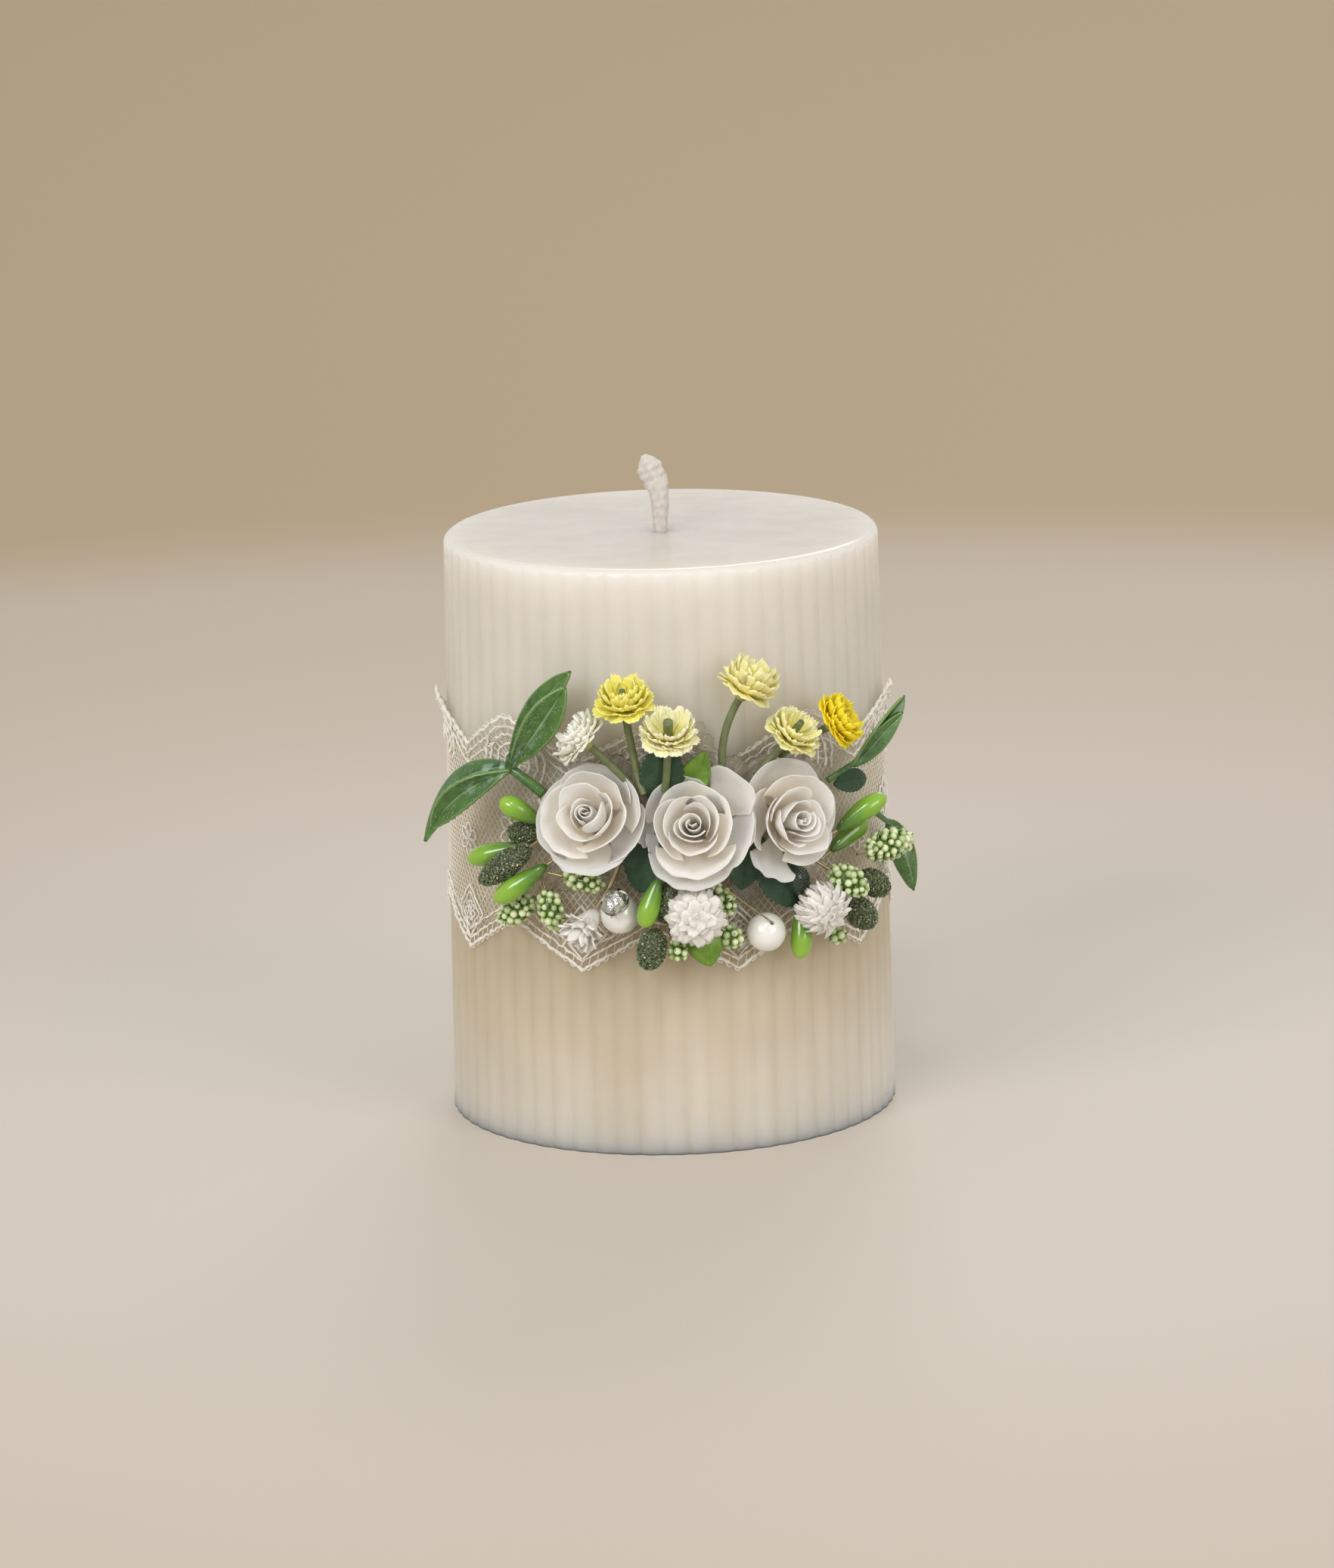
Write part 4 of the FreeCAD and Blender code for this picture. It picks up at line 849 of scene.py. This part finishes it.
def make_rose(side, closed, petals, middle, seed):
    """A paper rose: a rolled heart, and petals from the innermost out, whose rims roll back.

    middle is how far the heart sits from the rose's axis, and closed is how shut its bud is. Each
    petal is the angle of its middle, its half width in degrees, how far out and how high its rim
    comes, how far the rim rolls back, how far one corner is drawn out, and how ragged it is if it is.
    """
    seat = Seat(f"rose_{side}_petals")
    offset = np.array([*middle, 0.0])
    random = draws(seed)
    paper = Shape()
    for number, (turn, half, reach, rise, curl, point, *torn) in enumerate(petals):
        ragged = torn[0] if torn else 0.0
        points, along = rose_petal(turn, half, reach, rise, curl, point, ragged, seed * 50 + number)
        white = 1.0 if ragged else random.uniform(0.0, 0.45)
        paper.grid(seat.at(points + offset), white, along)
    paper.build(f"rose_{side}_paper", PAPER, [f"rose_{side}_petals"], thick=0.10)
    heart = Shape()
    turns = 1.6  # of the roll
    wind = np.linspace(0, turns, 90)[None, :]
    part = np.linspace(0, 1, 16)[:, None]
    out = 0.75 + 1.05 * wind * (0.55 + 0.45 * part)
    out = out * (1 - closed * smooth(part, 0.45, 1.1)) + 0.30 * smooth(part, 0.82, 1.0) * wind / turns
    up = 2.6 + part * (6.6 - 0.5 * wind + 0.35 * np.sin(wind * TAU * 0.7 + seed))
    spin = wind * TAU + seed
    roll = turned(out, up, spin) * np.array([1, 0.92, 1])
    # The heart's shares along start part way up the paper's ramp, so it takes only part of the painted root
    # shade.
    heart.grid(seat.at(roll + offset), 0.2, np.broadcast_to(0.30 + 0.65 * part, out.shape))
    fold = np.linspace(-1, 1, 15)[None, :]
    crease = np.abs(fold)
    tongue = np.stack([0.75 * fold + 0 * part, 0.55 * crease - 0.35 + 0 * part,
                       3.0 + part * (5.9 - 0.9 * crease)], -1)
    heart.grid(seat.at(tongue + offset), 0.1, np.broadcast_to(0.20 + 0.5 * part, (16, 15)))
    for k in range(2):
        points, along = rose_petal(
            90 + seed * 70 + 170 * k, 84, 2.9 + 0.25 * k, 9.3 - 0.2 * k, 0.35, 0.05 * k, 0.0,
            seed * 50 + 30 + k)
        points[..., :2] *= 1 - 0.8 * closed * smooth(along, 0.55, 1.1)[..., None]
        heart.grid(seat.at(points + offset), 0.25, along)
    heart.build(f"rose_{side}_roll", PAPER, [f"rose_{side}_heart"], thick=0.10)


# ---------------------------------------------------------------- small plastic flowers
def strip(start, end, bulge, wide, tip, turn, teeth, cup, twist):
    """A narrow petal from one (radius, height) to another, turned about the flower's axis.

    bulge bows it, tip is the share of its width left at the end, teeth is the depth of two notches
    there, and cup and twist bend it across.
    """
    columns = 7
    part = np.linspace(0, 1, 9)[:, None]
    side = np.linspace(-1, 1, columns)[None, :]
    line = np.array(start) * (1 - part) + np.array(end) * part
    way = unit(np.array(end) - np.array(start))
    normal = np.array([-way[1], way[0]])
    line = line + normal * bulge * 4 * part * (1 - part)
    width = wide * (0.30 + 0.70 * smooth(part, 0.0, 0.75)) * (1 - (1 - tip) * smooth(part, 0.80, 1.0))
    round_end = 0.35 * wide * np.abs(side) ** 2.5 * smooth(part, 0.5, 1.0)
    notch = teeth * np.isin(np.arange(columns), (2, 4))[None, :] * (part >= 0.999) + round_end
    ridge = 0.07 * np.cos(side * math.pi * 2) * smooth(part, 0.1, 0.5)
    lift = cup * side**2 * part + ridge
    out = line[:, :1] - way[0] * notch + normal[0] * lift
    up = line[:, 1:] - way[1] * notch + normal[1] * lift + twist * side * part
    return about_axis(out, side * width, up, turn)


def lathe(shape, seat, profile):
    """A turned solid, closed at both ends, from (radius, height) pairs."""
    profile = np.array(profile, float)
    shape.closed(seat.at(turned(profile[:, :1], profile[:, 1:], circle_of(24)[None, :])))


def make_yellow_flower(name, rings, stub, seed, tall=1.0):
    """A skirt of broad notched petals under a cup of narrow upright ones, round the end of the stem.

    Each ring is its count, its petals' start and end as (radius, height) shares of the head, their
    bulge and their tip. stub is the radius of the stem's end in the cup, or 0, and tall stretches
    the upright petals.
    """
    seat = Seat(f"yellow_flower_{name}")
    wide, deep = seat.radius, seat.length
    random = draws(seed)
    petals = Shape()
    for count, start, end, bulge, tip in rings:
        spread = TAU * end[0] * wide / count
        offset = random.uniform(0, TAU)
        for k in range(count):
            stretch = random.uniform(0.86, 1.10)
            rise = end[1] * (tall if end[1] > 0.4 else 1.0)
            points = strip(
                (start[0] * wide, start[1] * deep),
                (end[0] * wide * stretch, rise * deep * stretch), bulge,
                spread * random.uniform(0.50, 0.64), tip,
                offset + TAU * k / count + random.normal(0, 0.07), random.uniform(0.2, 0.55),
                random.uniform(0.05, 0.35), random.normal(0, 0.25))
            petals.grid(seat.at(points), random.uniform(0, 1))
    petals.build(f"yellow_petals_{name}", PETALS[name], [f"yellow_flower_{name}"], thick=0.12)
    cup = Shape()
    lathe(cup, seat, [(0.72, -0.3), (0.95, 0.0), (1.25, 0.5), (1.6, 0.85), (1.4, 1.0), (0.7, 1.05)])
    if stub:
        lathe(cup, seat, [
            (0.5, deep * 0.4), (stub * 0.9, deep * 0.52), (stub, deep * 0.86),
            (stub * 0.9, deep * 0.98), (stub * 0.4, deep * 0.92)])
    cup.build(f"yellow_cup_{name}", STEM if stub else CALYX)


def make_white_bell():
    """A narrow bell that flares into pointed petals."""
    seat = Seat("white_flower_left")
    shape = Shape()
    lathe(shape, seat, [
        (0.5, 0.0), (0.85, 0.15), (1.25, 0.9), (1.55, 1.8), (1.75, 2.8), (1.3, 3.1), (0.4, 3.0)])
    random = draws(71)
    for count, start, end, bulge, breadth in (  # end is in shares of the head's radius and length
            (9, (1.45, 1.7), (1.0, 0.50), 0.5, 0.95), (10, (1.45, 2.0), (0.92, 0.80), 0.6, 0.95),
            (9, (1.3, 2.3), (0.70, 1.02), 0.5, 0.9), (7, (1.0, 2.6), (0.42, 1.08), 0.3, 0.8),
            (4, (0.5, 2.6), (0.18, 0.98), 0.1, 0.65)):
        offset = random.uniform(0, TAU)
        for k in range(count):
            stretch = random.uniform(0.88, 1.12)
            rim = (seat.radius * end[0] * stretch, seat.length * end[1] * stretch)
            points = strip(
                start, rim, bulge, breadth * random.uniform(0.85, 1.1), 0.10,
                offset + TAU * k / count + random.normal(0, 0.1), 0.0, 0.35, random.normal(0, 0.25))
            shape.grid(seat.at(points), random.uniform(0, 1))
    shape.build("white_bell_petals", WHITE, ["white_flower_left"], thick=0.2)


def dome_petal(wide, tall, foot, start, end, turn, breadth, lift, point, random, over):
    """A petal that lies over a dome from one angle off its axis to another, with a lifted lobed end."""
    part = np.linspace(0, 1, 11)[:, None]
    side = np.linspace(-1, 1, 9)[None, :]
    dent = 0.07 * np.exp(-((side / 0.25) ** 2)) * (1 - point)
    along = part * (1 - (0.16 + 0.30 * point) * np.abs(side) ** (2.6 - point) - dent)
    lean = np.radians(start + (end - start) * along)
    frill = 0.10 * np.cos(side * 6 + random.uniform(0, 3))
    proud = over + lift * along**3 + (0.22 * (1 - side**2) + frill) * along
    out = (wide + proud) * np.sin(lean)
    up = foot + (tall + proud) * np.cos(lean)
    narrow = 1 - (0.25 + 0.55 * point) * smooth(part, 0.7, 1.0)
    width = breadth * (0.35 + 0.65 * smooth(part, 0.0, 0.7)) * narrow
    points = about_axis(out, side * width, up, turn)
    return points + 0.16 * ripple(points, 1.3, random.integers(1000))[..., None] * along[..., None]


def make_white_dome(side, layers, point, seed):
    """A dome of overlapping petals, laid from the lowest ring to the top.

    Each layer is its count, its petals' first and last angle off the axis, and the lift of their ends.
    """
    seat = Seat(f"white_flower_{side}")
    wide, deep = seat.radius * 0.92, seat.length
    shape = Shape()
    lathe(shape, seat, [(0.5, 0.0), (1.0, 0.1), (1.6, deep * 0.25), (wide * 0.62, deep * 0.42),
                        (wide * 0.55, deep * 0.7), (0.3, deep * 0.85)])
    random = draws(seed)
    for number, (count, start, end, lift) in enumerate(layers):
        breadth = TAU * wide * math.sin(math.radians(min(end, 90))) / count * 0.58
        offset = random.uniform(0, TAU)
        for k in range(count):
            points = dome_petal(
                wide * 0.9, deep * 0.62, deep * 0.36, start, end + random.uniform(-6, 6),
                offset + TAU * k / count + random.normal(0, 0.06),
                breadth * random.uniform(0.9, 1.1), lift * random.uniform(0.4, 1.4), point, random,
                0.11 * number)
            shape.grid(seat.at(points), random.uniform(0, 1))
    shape.build(f"white_petals_{side}", WHITE, [f"white_flower_{side}"], thick=0.13)


# ---------------------------------------------------------------- leaves
def blade(shape, root, tip, face, wide, bow, fold, arch, belly=0.9, serrate=0.0):
    """A leaf from root to tip, whose normal is face and whose breadth is wide.

    bow bends it in its own plane, fold lifts its sides, arch lifts its middle, belly below 1 moves
    its widest place towards the root, and serrate is the depth of its teeth.
    """
    way = unit(tip - root)
    face = np.asarray(face, float)
    face = unit(face - way * (face @ way))
    side_way = np.cross(face, way)
    part = np.linspace(0, 1, 33)[:, None]
    side = np.linspace(-1, 1, 15)[None, :]
    off = np.abs(side)
    swell = 4 * part * (1 - part)
    width = np.maximum(wide / 2 * np.sin(math.pi * part**belly) ** 0.7, 0.06)
    teeth = 1 + serrate * (np.abs(((part * 11) % 1) - 0.5) * 2 - 0.5) * (off > 0.8)
    across = side * width * teeth
    share = wide / 5.4  # relief is given for a leaf of this breadth
    groove = -0.22 * np.exp(-(side / 0.10) ** 2) * smooth(part, 0.02, 0.2) * share
    rib = 0.20 * np.cos(part * 26 - off * 4.5) * off * (1 - off) * share
    lift = arch * swell + fold * off**1.4 * width
    points = (root + part[..., None] * (tip - root) + (across + bow * swell)[..., None] * side_way
              + (lift + groove + rib)[..., None] * face)
    shape.grid(points, np.broadcast_to(off, across.shape), np.broadcast_to(part, across.shape))


def sprig_stem(shape, start, end, radius, bend=(0, 0, 0)):
    """A short tapering stalk. bend moves its middle."""
    middle = (start + end) / 2 + np.asarray(bend, float)
    path = bezier(start, start * 0.4 + middle * 0.6, middle * 0.6 + end * 0.4, end, 12)
    shape.closed(rings_along(path, np.linspace(radius, radius * 0.8, 12), 10), 0.5, 0.5)


def make_sprig(side, leaves, stalks, thick):
    """Moulded leaves and their stalk. Each leaf is its root, its tip and the rest of what blade takes."""
    blades = Shape()
    for root, tip, *form in leaves:
        blade(blades, place(*root), place(*tip), *form)
    plate = "leaf_blades_left" if side == "left" else f"leaf_blade_{side}"
    node = "leaf_sprig_left" if side == "left" else f"leaf_{side}"
    blades.build(plate, LEAF, [node], thick=thick)
    stalk = Shape()
    for start, end, *form in stalks:
        sprig_stem(stalk, place(*start), place(*end), *form)
    stalk.build(f"leaf_stalk_{side}", LEAF)


def make_flat_leaves():
    """The toothed cloth leaves behind the roses, and the two plain green bracts."""
    cloth = Shape()
    for root, tip, wide, turn in (
            ((-1.4, 61.0, 41.6), (0.2, 73.6, 43.4), 7.4, 0.0),
            ((-3.6, 58.0, 41.8), (-6.6, 46.8, 43.4), 8.0, -0.3),
            ((17.0, 58.0, 41.8), (16.0, 46.4, 43.0), 8.0, 0.2),
            ((20.0, 51.6, 42.0), (31.0, 42.4, 42.2), 8.6, 0.3),
            ((42.0, 61.6, 41.6), (52.0, 61.4, 42.4), 4.0, 0.4)):
        face = radial((root[0] + tip[0]) / 2) + np.array([turn, 0, 0.1])
        blade(cloth, place(*root), place(*tip), face, wide, 0.3, 0.10, 0.9, serrate=0.16)
    cloth.build("fabric_leaf_cloth", CLOTH, ["fabric_leaves"], thick=0.24)
    green = Shape()
    blade(green, place(2.0, 63.0, 41.4), place(9.0, 70.2, 42.2), radial(5.0), 5.0, -0.6, 0.3, 0.5)
    down = radial(6.0) + np.array([0, 0, -0.4])
    blade(green, place(5.0, 41.0, 42.6), place(8.6, 34.0, 43.4), down, 6.4, 0.6, -0.5, 0.7)
    green.build("bract_blades", BRACT, ["green_bracts"], thick=0.35)


# ---------------------------------------------------------------- buds, pods, seed heads
def make_bud(name, bend, dull):
    """A dipped bud: a smooth drop, narrow at its root and slightly bent. dull darkens its green."""
    sides = 22
    node = f"green_bud_{name}"
    seat = Seat(node)
    part = np.linspace(0, 1, 30)
    bulk = np.clip(1 - np.abs(2 * part - 1) ** 3.0, 0, 1) ** 0.5
    size = bulk * seat.radius * (0.62 + 0.40 * smooth(part, 0.0, 0.75))
    size[[0, -1]] = 0.05
    path = np.stack([bend * np.sin(part * math.pi), 0 * part, part * seat.length], -1)
    shape = Shape()
    shape.closed(seat.at(rings_along(path, size, sides)), dull, np.repeat(part, sides))
    shape.build(f"bud_drop_{name}", BUD, [node])


def crystal(random, size):
    """The corners of one sugar granule: an eight-sided chip, squashed and turned at random."""
    corners = np.array([(1, 0, 0), (-1, 0, 0), (0, 1, 0), (0, -1, 0), (0, 0, 1), (0, 0, -1)], float)
    corners = corners * random.uniform(0.7, 1.25, 3) * size
    turn, _ = np.linalg.qr(random.normal(size=(3, 3)))
    return corners @ turn


CHIP_FACES = [(0, 2, 4), (2, 1, 4), (1, 3, 4), (3, 0, 4), (2, 0, 5), (1, 2, 5), (3, 1, 5), (0, 3, 5)]


def make_pod(name, seed):
    """A sugared pod: a dark core crusted with granules."""
    node = f"sugared_pod_{name}"
    seat = Seat(node, (0.0, 0.0, -1.0))
    random = draws(seed)
    half = np.array([seat.radius, seat.radius, seat.length / 2])
    middle = np.array([0, 0, seat.length / 2])
    shape = Shape()
    shape.closed(seat.at(ball_rings(14, 20) * half * 0.93 + middle), 0.08)
    room = 0.085  # square millimetres for each granule
    for way in spiral_points(int(egg_area(half) / room)):
        way = unit(way + random.normal(0, 0.05, 3))
        spot = way * half * random.uniform(0.93, 1.04) + middle
        size = random.uniform(0.15, 0.27)
        # About one granule in thirty takes the palest tint: painted glints on the sugar.
        shade = 1.0 if random.random() < 0.03 else random.uniform(0.15, 0.75)
        shape.add(seat.at(spot + crystal(random, size)), CHIP_FACES, shade, 0.5)
    shape.build(f"pod_sugar_{name}", POD, [node], flat=True)


def make_seed_head(name, seed):
    """A seed head: pale green beads packed on a dark core, with dark sepals showing between them."""
    ball = 0.66  # radius of a bead
    node = f"seed_head_{name}"
    seat = Seat(node, (0.0, 0.0, -1.0))
    random = draws(seed)
    half = np.array([seat.radius, seat.radius, seat.length / 2])
    middle = np.array([0, 0, seat.length / 2])
    shape = Shape()
    shape.closed(seat.at(ball_rings(10, 14) * (half - 0.75) + middle), 0.9, 0.0)
    inner = half - ball * 0.75
    count = max(int(egg_area(inner) / (ball * 1.88) ** 2), 12)
    berry = ball_rings(7, 12)
    # The share up each bead, from foot to outer tip, feeds the seed paint's ramp and its painted shade at
    # the foot.
    share = np.repeat((berry[:, 0, 2] + 1) / 2, 12)
    for way in spiral_points(count):
        way = unit(way + random.normal(0, 0.06, 3))
        normal = unit(way / inner)
        size = ball * random.uniform(0.78, 1.12)
        spot = way * inner * random.uniform(0.95, 1.03) + middle
        dark = random.uniform(0, 1) ** 2
        bead = (berry * np.array([1, 1, 1.12]) * size) @ axes_along(normal)
        shape.closed(seat.at(spot + bead), dark, share)
    for way in spiral_points(count):
        way = unit(way + random.normal(0, 0.2, 3))
        normal = unit(way / inner)
        base = way * (inner - 0.2) + middle
        lean = unit(normal + random.normal(0, 0.35, 3))
        tip = base + lean * random.uniform(0.75, 1.15)
        path = np.stack([base, (base + tip) / 2, tip])
        shape.closed(seat.at(rings_along(path, [0.30, 0.20, 0.05], 5)), 0.9, 0.0)
    shape.build(f"seed_beads_{name}", SEED, [node])


def make_crystal_bead(name, silver):
    """A clear drop, with a crumpled bright lining and an eyelet at the lower end of one of them."""
    node = f"crystal_bead_{name}"
    seat = Seat(node, (0.0, 0.0, 1.0))
    shape = Shape()
    part = np.linspace(0, 1, 15)
    size = seat.radius * np.sqrt(np.clip(1 - np.abs(2 * part - 1) ** 2.6, 0.01, 1))
    turn = circle_of(20)[None, :]
    ridge = 1 + 0.05 * np.cos(4 * turn)
    rings = turned(size[:, None] * ridge, part[:, None] * seat.length, turn)
    shape.closed(seat.at(rings))
    shape.build(f"crystal_drop_{name}", CLEAR, [node])
    if not silver:
        return
    core = Shape()
    inside = rings * np.array([0.60, 0.60, 0.62]) + np.array([0, 0, seat.length * 0.22])
    inside = inside + 0.16 * ripple(inside, 0.9, 8)[..., None]
    core.closed(seat.at(inside))
    loop = np.linspace(0, TAU, 25)
    eyelet = np.stack([0.55 * np.cos(loop), -seat.radius * 0.75 + 0 * loop, 0.8 + 0.55 * np.sin(loop)], -1)
    core.closed(seat.at(rings_along(eyelet, 0.13, 8)))
    core.build(f"crystal_lining_{name}", SILVER, flat=True)


# ---------------------------------------------------------------- the pieces
for start, material in (
        ("candle_body", WAX), ("wick_tab", TAB), ("pearl", PEARL), ("floral_wires", WIRE),
        ("yellow_stem", STEM)):
    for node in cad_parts:
        if node.startswith(start):
            finish_cad(node, material)
make_wick()
make_lace()
make_glue()
make_seam_glue()
make_rose("left", 0.42, [
    (350, 84, 4.3, 8.9, 0.4, 0.05), (110, 80, 4.5, 8.8, 0.5, 0.10), (232, 84, 4.2, 8.7, 0.5, 0.12),
    (320, 74, 6.2, 7.9, 0.6, 0.12), (75, 72, 6.4, 8.0, 0.5, 0.06), (195, 84, 7.2, 6.9, 0.9, 0.0),
    (30, 52, 8.4, 5.9, 0.6, 0.05), (338, 46, 9.0, 4.6, 0.3, 0.08, 0.03), (82, 66, 8.0, 5.6, 0.8, 0.0),
    (265, 66, 8.9, 4.6, 1.0, 0.0), (178, 68, 8.6, 4.7, 0.8, 0.0),
], (0.1, 0.9), 1)
make_rose("centre", 0.05, [
    (30, 84, 4.2, 8.8, 0.4, 0.05), (150, 80, 4.4, 8.7, 0.4, 0.05), (268, 86, 4.5, 8.5, 0.6, 0.0),
    (2, 72, 6.2, 7.5, 0.5, 0.08), (92, 76, 6.4, 7.6, 0.7, 0.03), (186, 74, 5.9, 7.3, 0.5, 0.05),
    (272, 72, 7.8, 6.1, 1.1, 0.0), (345, 42, 9.6, 4.8, 0.4, 0.08, 0.03), (122, 56, 8.2, 5.4, 0.6, 0.04),
    (264, 62, 9.4, 4.2, 1.0, 0.0), (44, 34, 10.6, 6.2, 0.9, 0.10), (8, 32, 10.2, 4.0, 0.2, 0.05, 0.05),
    (178, 24, 9.2, 3.4, 0.2, 0.0, 0.09), (205, 22, 8.2, 3.2, 0.2, 0.0, 0.09),
], (-0.4, 0.3), 2)
make_rose("right", 0.12, [
    (335, 84, 3.9, 8.6, 0.3, 0.0), (215, 78, 4.0, 8.6, 0.4, 0.10), (112, 72, 4.9, 8.6, 0.7, 0.14),
    (285, 66, 5.6, 7.6, 0.5, 0.14), (185, 68, 5.6, 7.5, 0.5, 0.05), (62, 82, 7.0, 7.1, 0.6, 0.0),
    (20, 60, 7.4, 5.4, 0.7, 0.0), (302, 54, 7.6, 4.6, 0.4, 0.08), (168, 52, 7.6, 4.8, 0.6, 0.03),
    (98, 60, 9.6, 4.6, 0.8, 0.0), (240, 34, 9.8, 4.0, 0.6, 0.0),
], (0.3, -0.5), 3)
FLOWER = [
    (12, (0.16, 0.18), (1.00, 0.24), 0.35, 0.75), (13, (0.16, 0.22), (0.98, 0.50), -0.25, 0.75),
    (15, (0.16, 0.26), (0.90, 0.78), -0.45, 0.7), (15, (0.15, 0.30), (0.74, 0.98), -0.50, 0.65),
    (11, (0.14, 0.34), (0.52, 1.06), -0.40, 0.6),
]
make_yellow_flower("pale_left", FLOWER, 0, 31)
make_yellow_flower("bright_left", FLOWER, 0.55, 32, 1.15)
make_yellow_flower("pale_middle", FLOWER[:4], 0.85, 33)
make_yellow_flower("pale_tall", FLOWER, 0, 34, 1.35)
make_yellow_flower("bright_right", FLOWER[:4], 0.6, 35)
make_yellow_flower("deep_right", FLOWER, 0, 36)
make_white_bell()
make_white_dome("centre", [
    (18, 30, 130, 0.6), (17, 20, 112, 0.8), (15, 12, 90, 0.9), (11, 6, 64, 0.9), (7, 0, 38, 0.8),
    (4, 0, 20, 0.5)], 0.15, 41)
make_white_dome("right", [
    (17, 30, 134, 0.9), (16, 20, 114, 1.1), (14, 14, 92, 1.2), (11, 10, 66, 1.1), (7, 4, 42, 0.9),
    (4, 0, 22, 0.6)], 0.3, 42)
FORK = (-37.0, 67.0, 43.8)
make_sprig("left", [
    ((-37.4, 66.2, 43.4), (-21.2, 84.0, 43.0), (-0.62, -0.75, 0.15), 5.0, 1.0, 0.10, 0.6, 1.25),
    ((-37.0, 66.2, 44.2), (-21.6, 81.6, 44.6), (-0.25, -0.95, -0.1), 5.6, -0.3, 0.32, 0.9, 1.45),
    ((-35.8, 67.0, 43.6), (-55.4, 53.0, 49.6), (-0.05, -0.80, 0.60), 5.4, -3.9, -0.40, 0.5, 0.85),
    ((-35.6, 66.6, 44.4), (-52.4, 55.8, 50.0), (-0.35, -0.90, -0.15), 4.6, -1.7, 0.45, 0.8, 1.2, 0.10),
], [((-29.0, 62.6, 42.2), FORK, 1.0, (0, -0.5, 0.3)), (FORK, (-35.8, 69.0, 44.6), 0.6)], 0.55)
make_sprig("right_upper", [
    ((45.0, 64.6, 44.0), (57.0, 75.4, 47.8), (0.80, -0.55, 0.1), 4.6, 0.4, 0.55, 0.4),
    ((45.2, 64.8, 44.6), (54.8, 73.0, 48.6), (0.25, -0.95, -0.1), 3.2, 0.3, 0.3, 0.3),
], [((39.5, 62.6, 42.0), (46.0, 65.6, 44.4), 0.55)], 0.45)
make_sprig("right_lower", [
    ((63.5, 52.4, 41.6), (72.3, 38.6, 43.6), (0.45, -0.9, 0.0), 4.6, 0.7, -0.35, 0.3),
], [((56.0, 55.8, 40.6), (64.4, 51.4, 41.8), 0.55)], 0.45)
make_flat_leaves()
for name, bend, dull in (
        ("left_upper", 0.2, 0.0), ("left_middle", 0.3, 0.0), ("left_lower", 0.4, 0.0),
        ("middle", -0.3, 0.0), ("right_upper", 0.3, 0.0), ("right_hidden", 0.2, 0.45),
        ("right_lower", 0.2, 0.0)):
    make_bud(name, bend, dull)
for seed, name in enumerate((
        "left_upper", "left_lower", "middle_upper", "middle_lower", "right_upper", "right_lower"), 50):
    make_pod(name, seed)
for seed, name in enumerate((
        "left_outer", "left_inner", "under_left_rose", "middle_upper", "middle_lower", "middle_end",
        "right_upper", "right_middle", "right_lower"), 60):
    make_seed_head(name, seed)
make_crystal_bead("left", True)
make_crystal_bead("right", False)


# ---------------------------------------------------------------- floor, light and camera
def make_floor():
    """A plain pale table top that turns to soft tan far from the candle."""
    size = 6.0
    mesh = bpy.data.meshes.new("floor")
    corners = [(-size, -size, 0), (size, -size, 0), (size, size, 0), (-size, size, 0)]
    mesh.from_pydata(corners, [], [(0, 1, 2, 3)])
    floor = put_in_scene("floor", mesh)
    cover = Paint("floor_cover", Roughness=0.6)
    away = cover.node("ShaderNodeVectorMath", {0: cover.where()}, operation="LENGTH").outputs["Value"]
    tone = cover.ramp(cover.span(away, 0.0, 1.0), [
        (0.0, (0.58, 0.53, 0.47)), (0.44, (0.45, 0.375, 0.30)), (0.56, (0.365, 0.27, 0.15)),
        (1.0, (0.37, 0.275, 0.15))], "EASE")
    cover.set(Base_Color=tone)
    mesh.materials.append(cover.material)


def make_light(name, location, size, power, colour):
    """A rectangular light that faces the middle of the candle."""
    data = bpy.data.lights.new(name, "AREA")
    data.shape = "RECTANGLE"
    data.size, data.size_y = size
    data.energy = power
    data.color = colour
    aim = np.array([0, 0, 0.05])
    pose = Matrix(axes_along(np.array(location) - aim).T.tolist()).to_4x4()
    pose.translation = location
    put_in_scene(name, data).matrix_world = pose


def make_camera():
    """A long lens, looking 13 degrees down and rolled by 1.5 degrees."""
    data = bpy.data.cameras.new("camera")
    data.lens = 152.1
    data.sensor_width = 36
    data.clip_end = 50
    camera = put_in_scene("camera", data)
    pitch, roll = math.radians(-13.15), math.radians(-1.5)
    forward = np.array([0, math.cos(pitch), math.sin(pitch)])
    level, above = np.array([1.0, 0, 0]), np.array([0, -math.sin(pitch), math.cos(pitch)])
    right = math.cos(roll) * level + math.sin(roll) * above
    up = math.cos(roll) * above - math.sin(roll) * level
    pose = Matrix(np.stack([right, up, -forward]).T.tolist()).to_4x4()
    pose.translation = (0, -1.1087, 0.3142)
    camera.matrix_world = pose
    bpy.context.scene.camera = camera


make_floor()
WARM = (1.0, 0.985, 0.96)
make_light("key", (-1.5, -2.2, 1.5), (1.4, 1.0), 36.0, WARM)
make_light("fill", (1.8, -2.0, 1.1), (1.4, 1.2), 21.0, (1.0, 0.98, 0.95))
make_light("back", (0.5, 2.4, 1.8), (1.4, 1.0), 14.0, WARM)
make_light("sparkle", (-0.1, -1.3, 1.6), (0.22, 0.22), 4.5, WARM)
world = bpy.data.worlds.new("studio")
bpy.context.scene.world = world
world.use_nodes = True
sky = world.node_tree.nodes["Background"]
sky.inputs["Color"].default_value = (*WARM, 1)
sky.inputs["Strength"].default_value = 0.70
make_camera()
bpy.context.scene.view_settings.view_transform = "Standard"
bpy.context.scene.view_settings.look = "None"
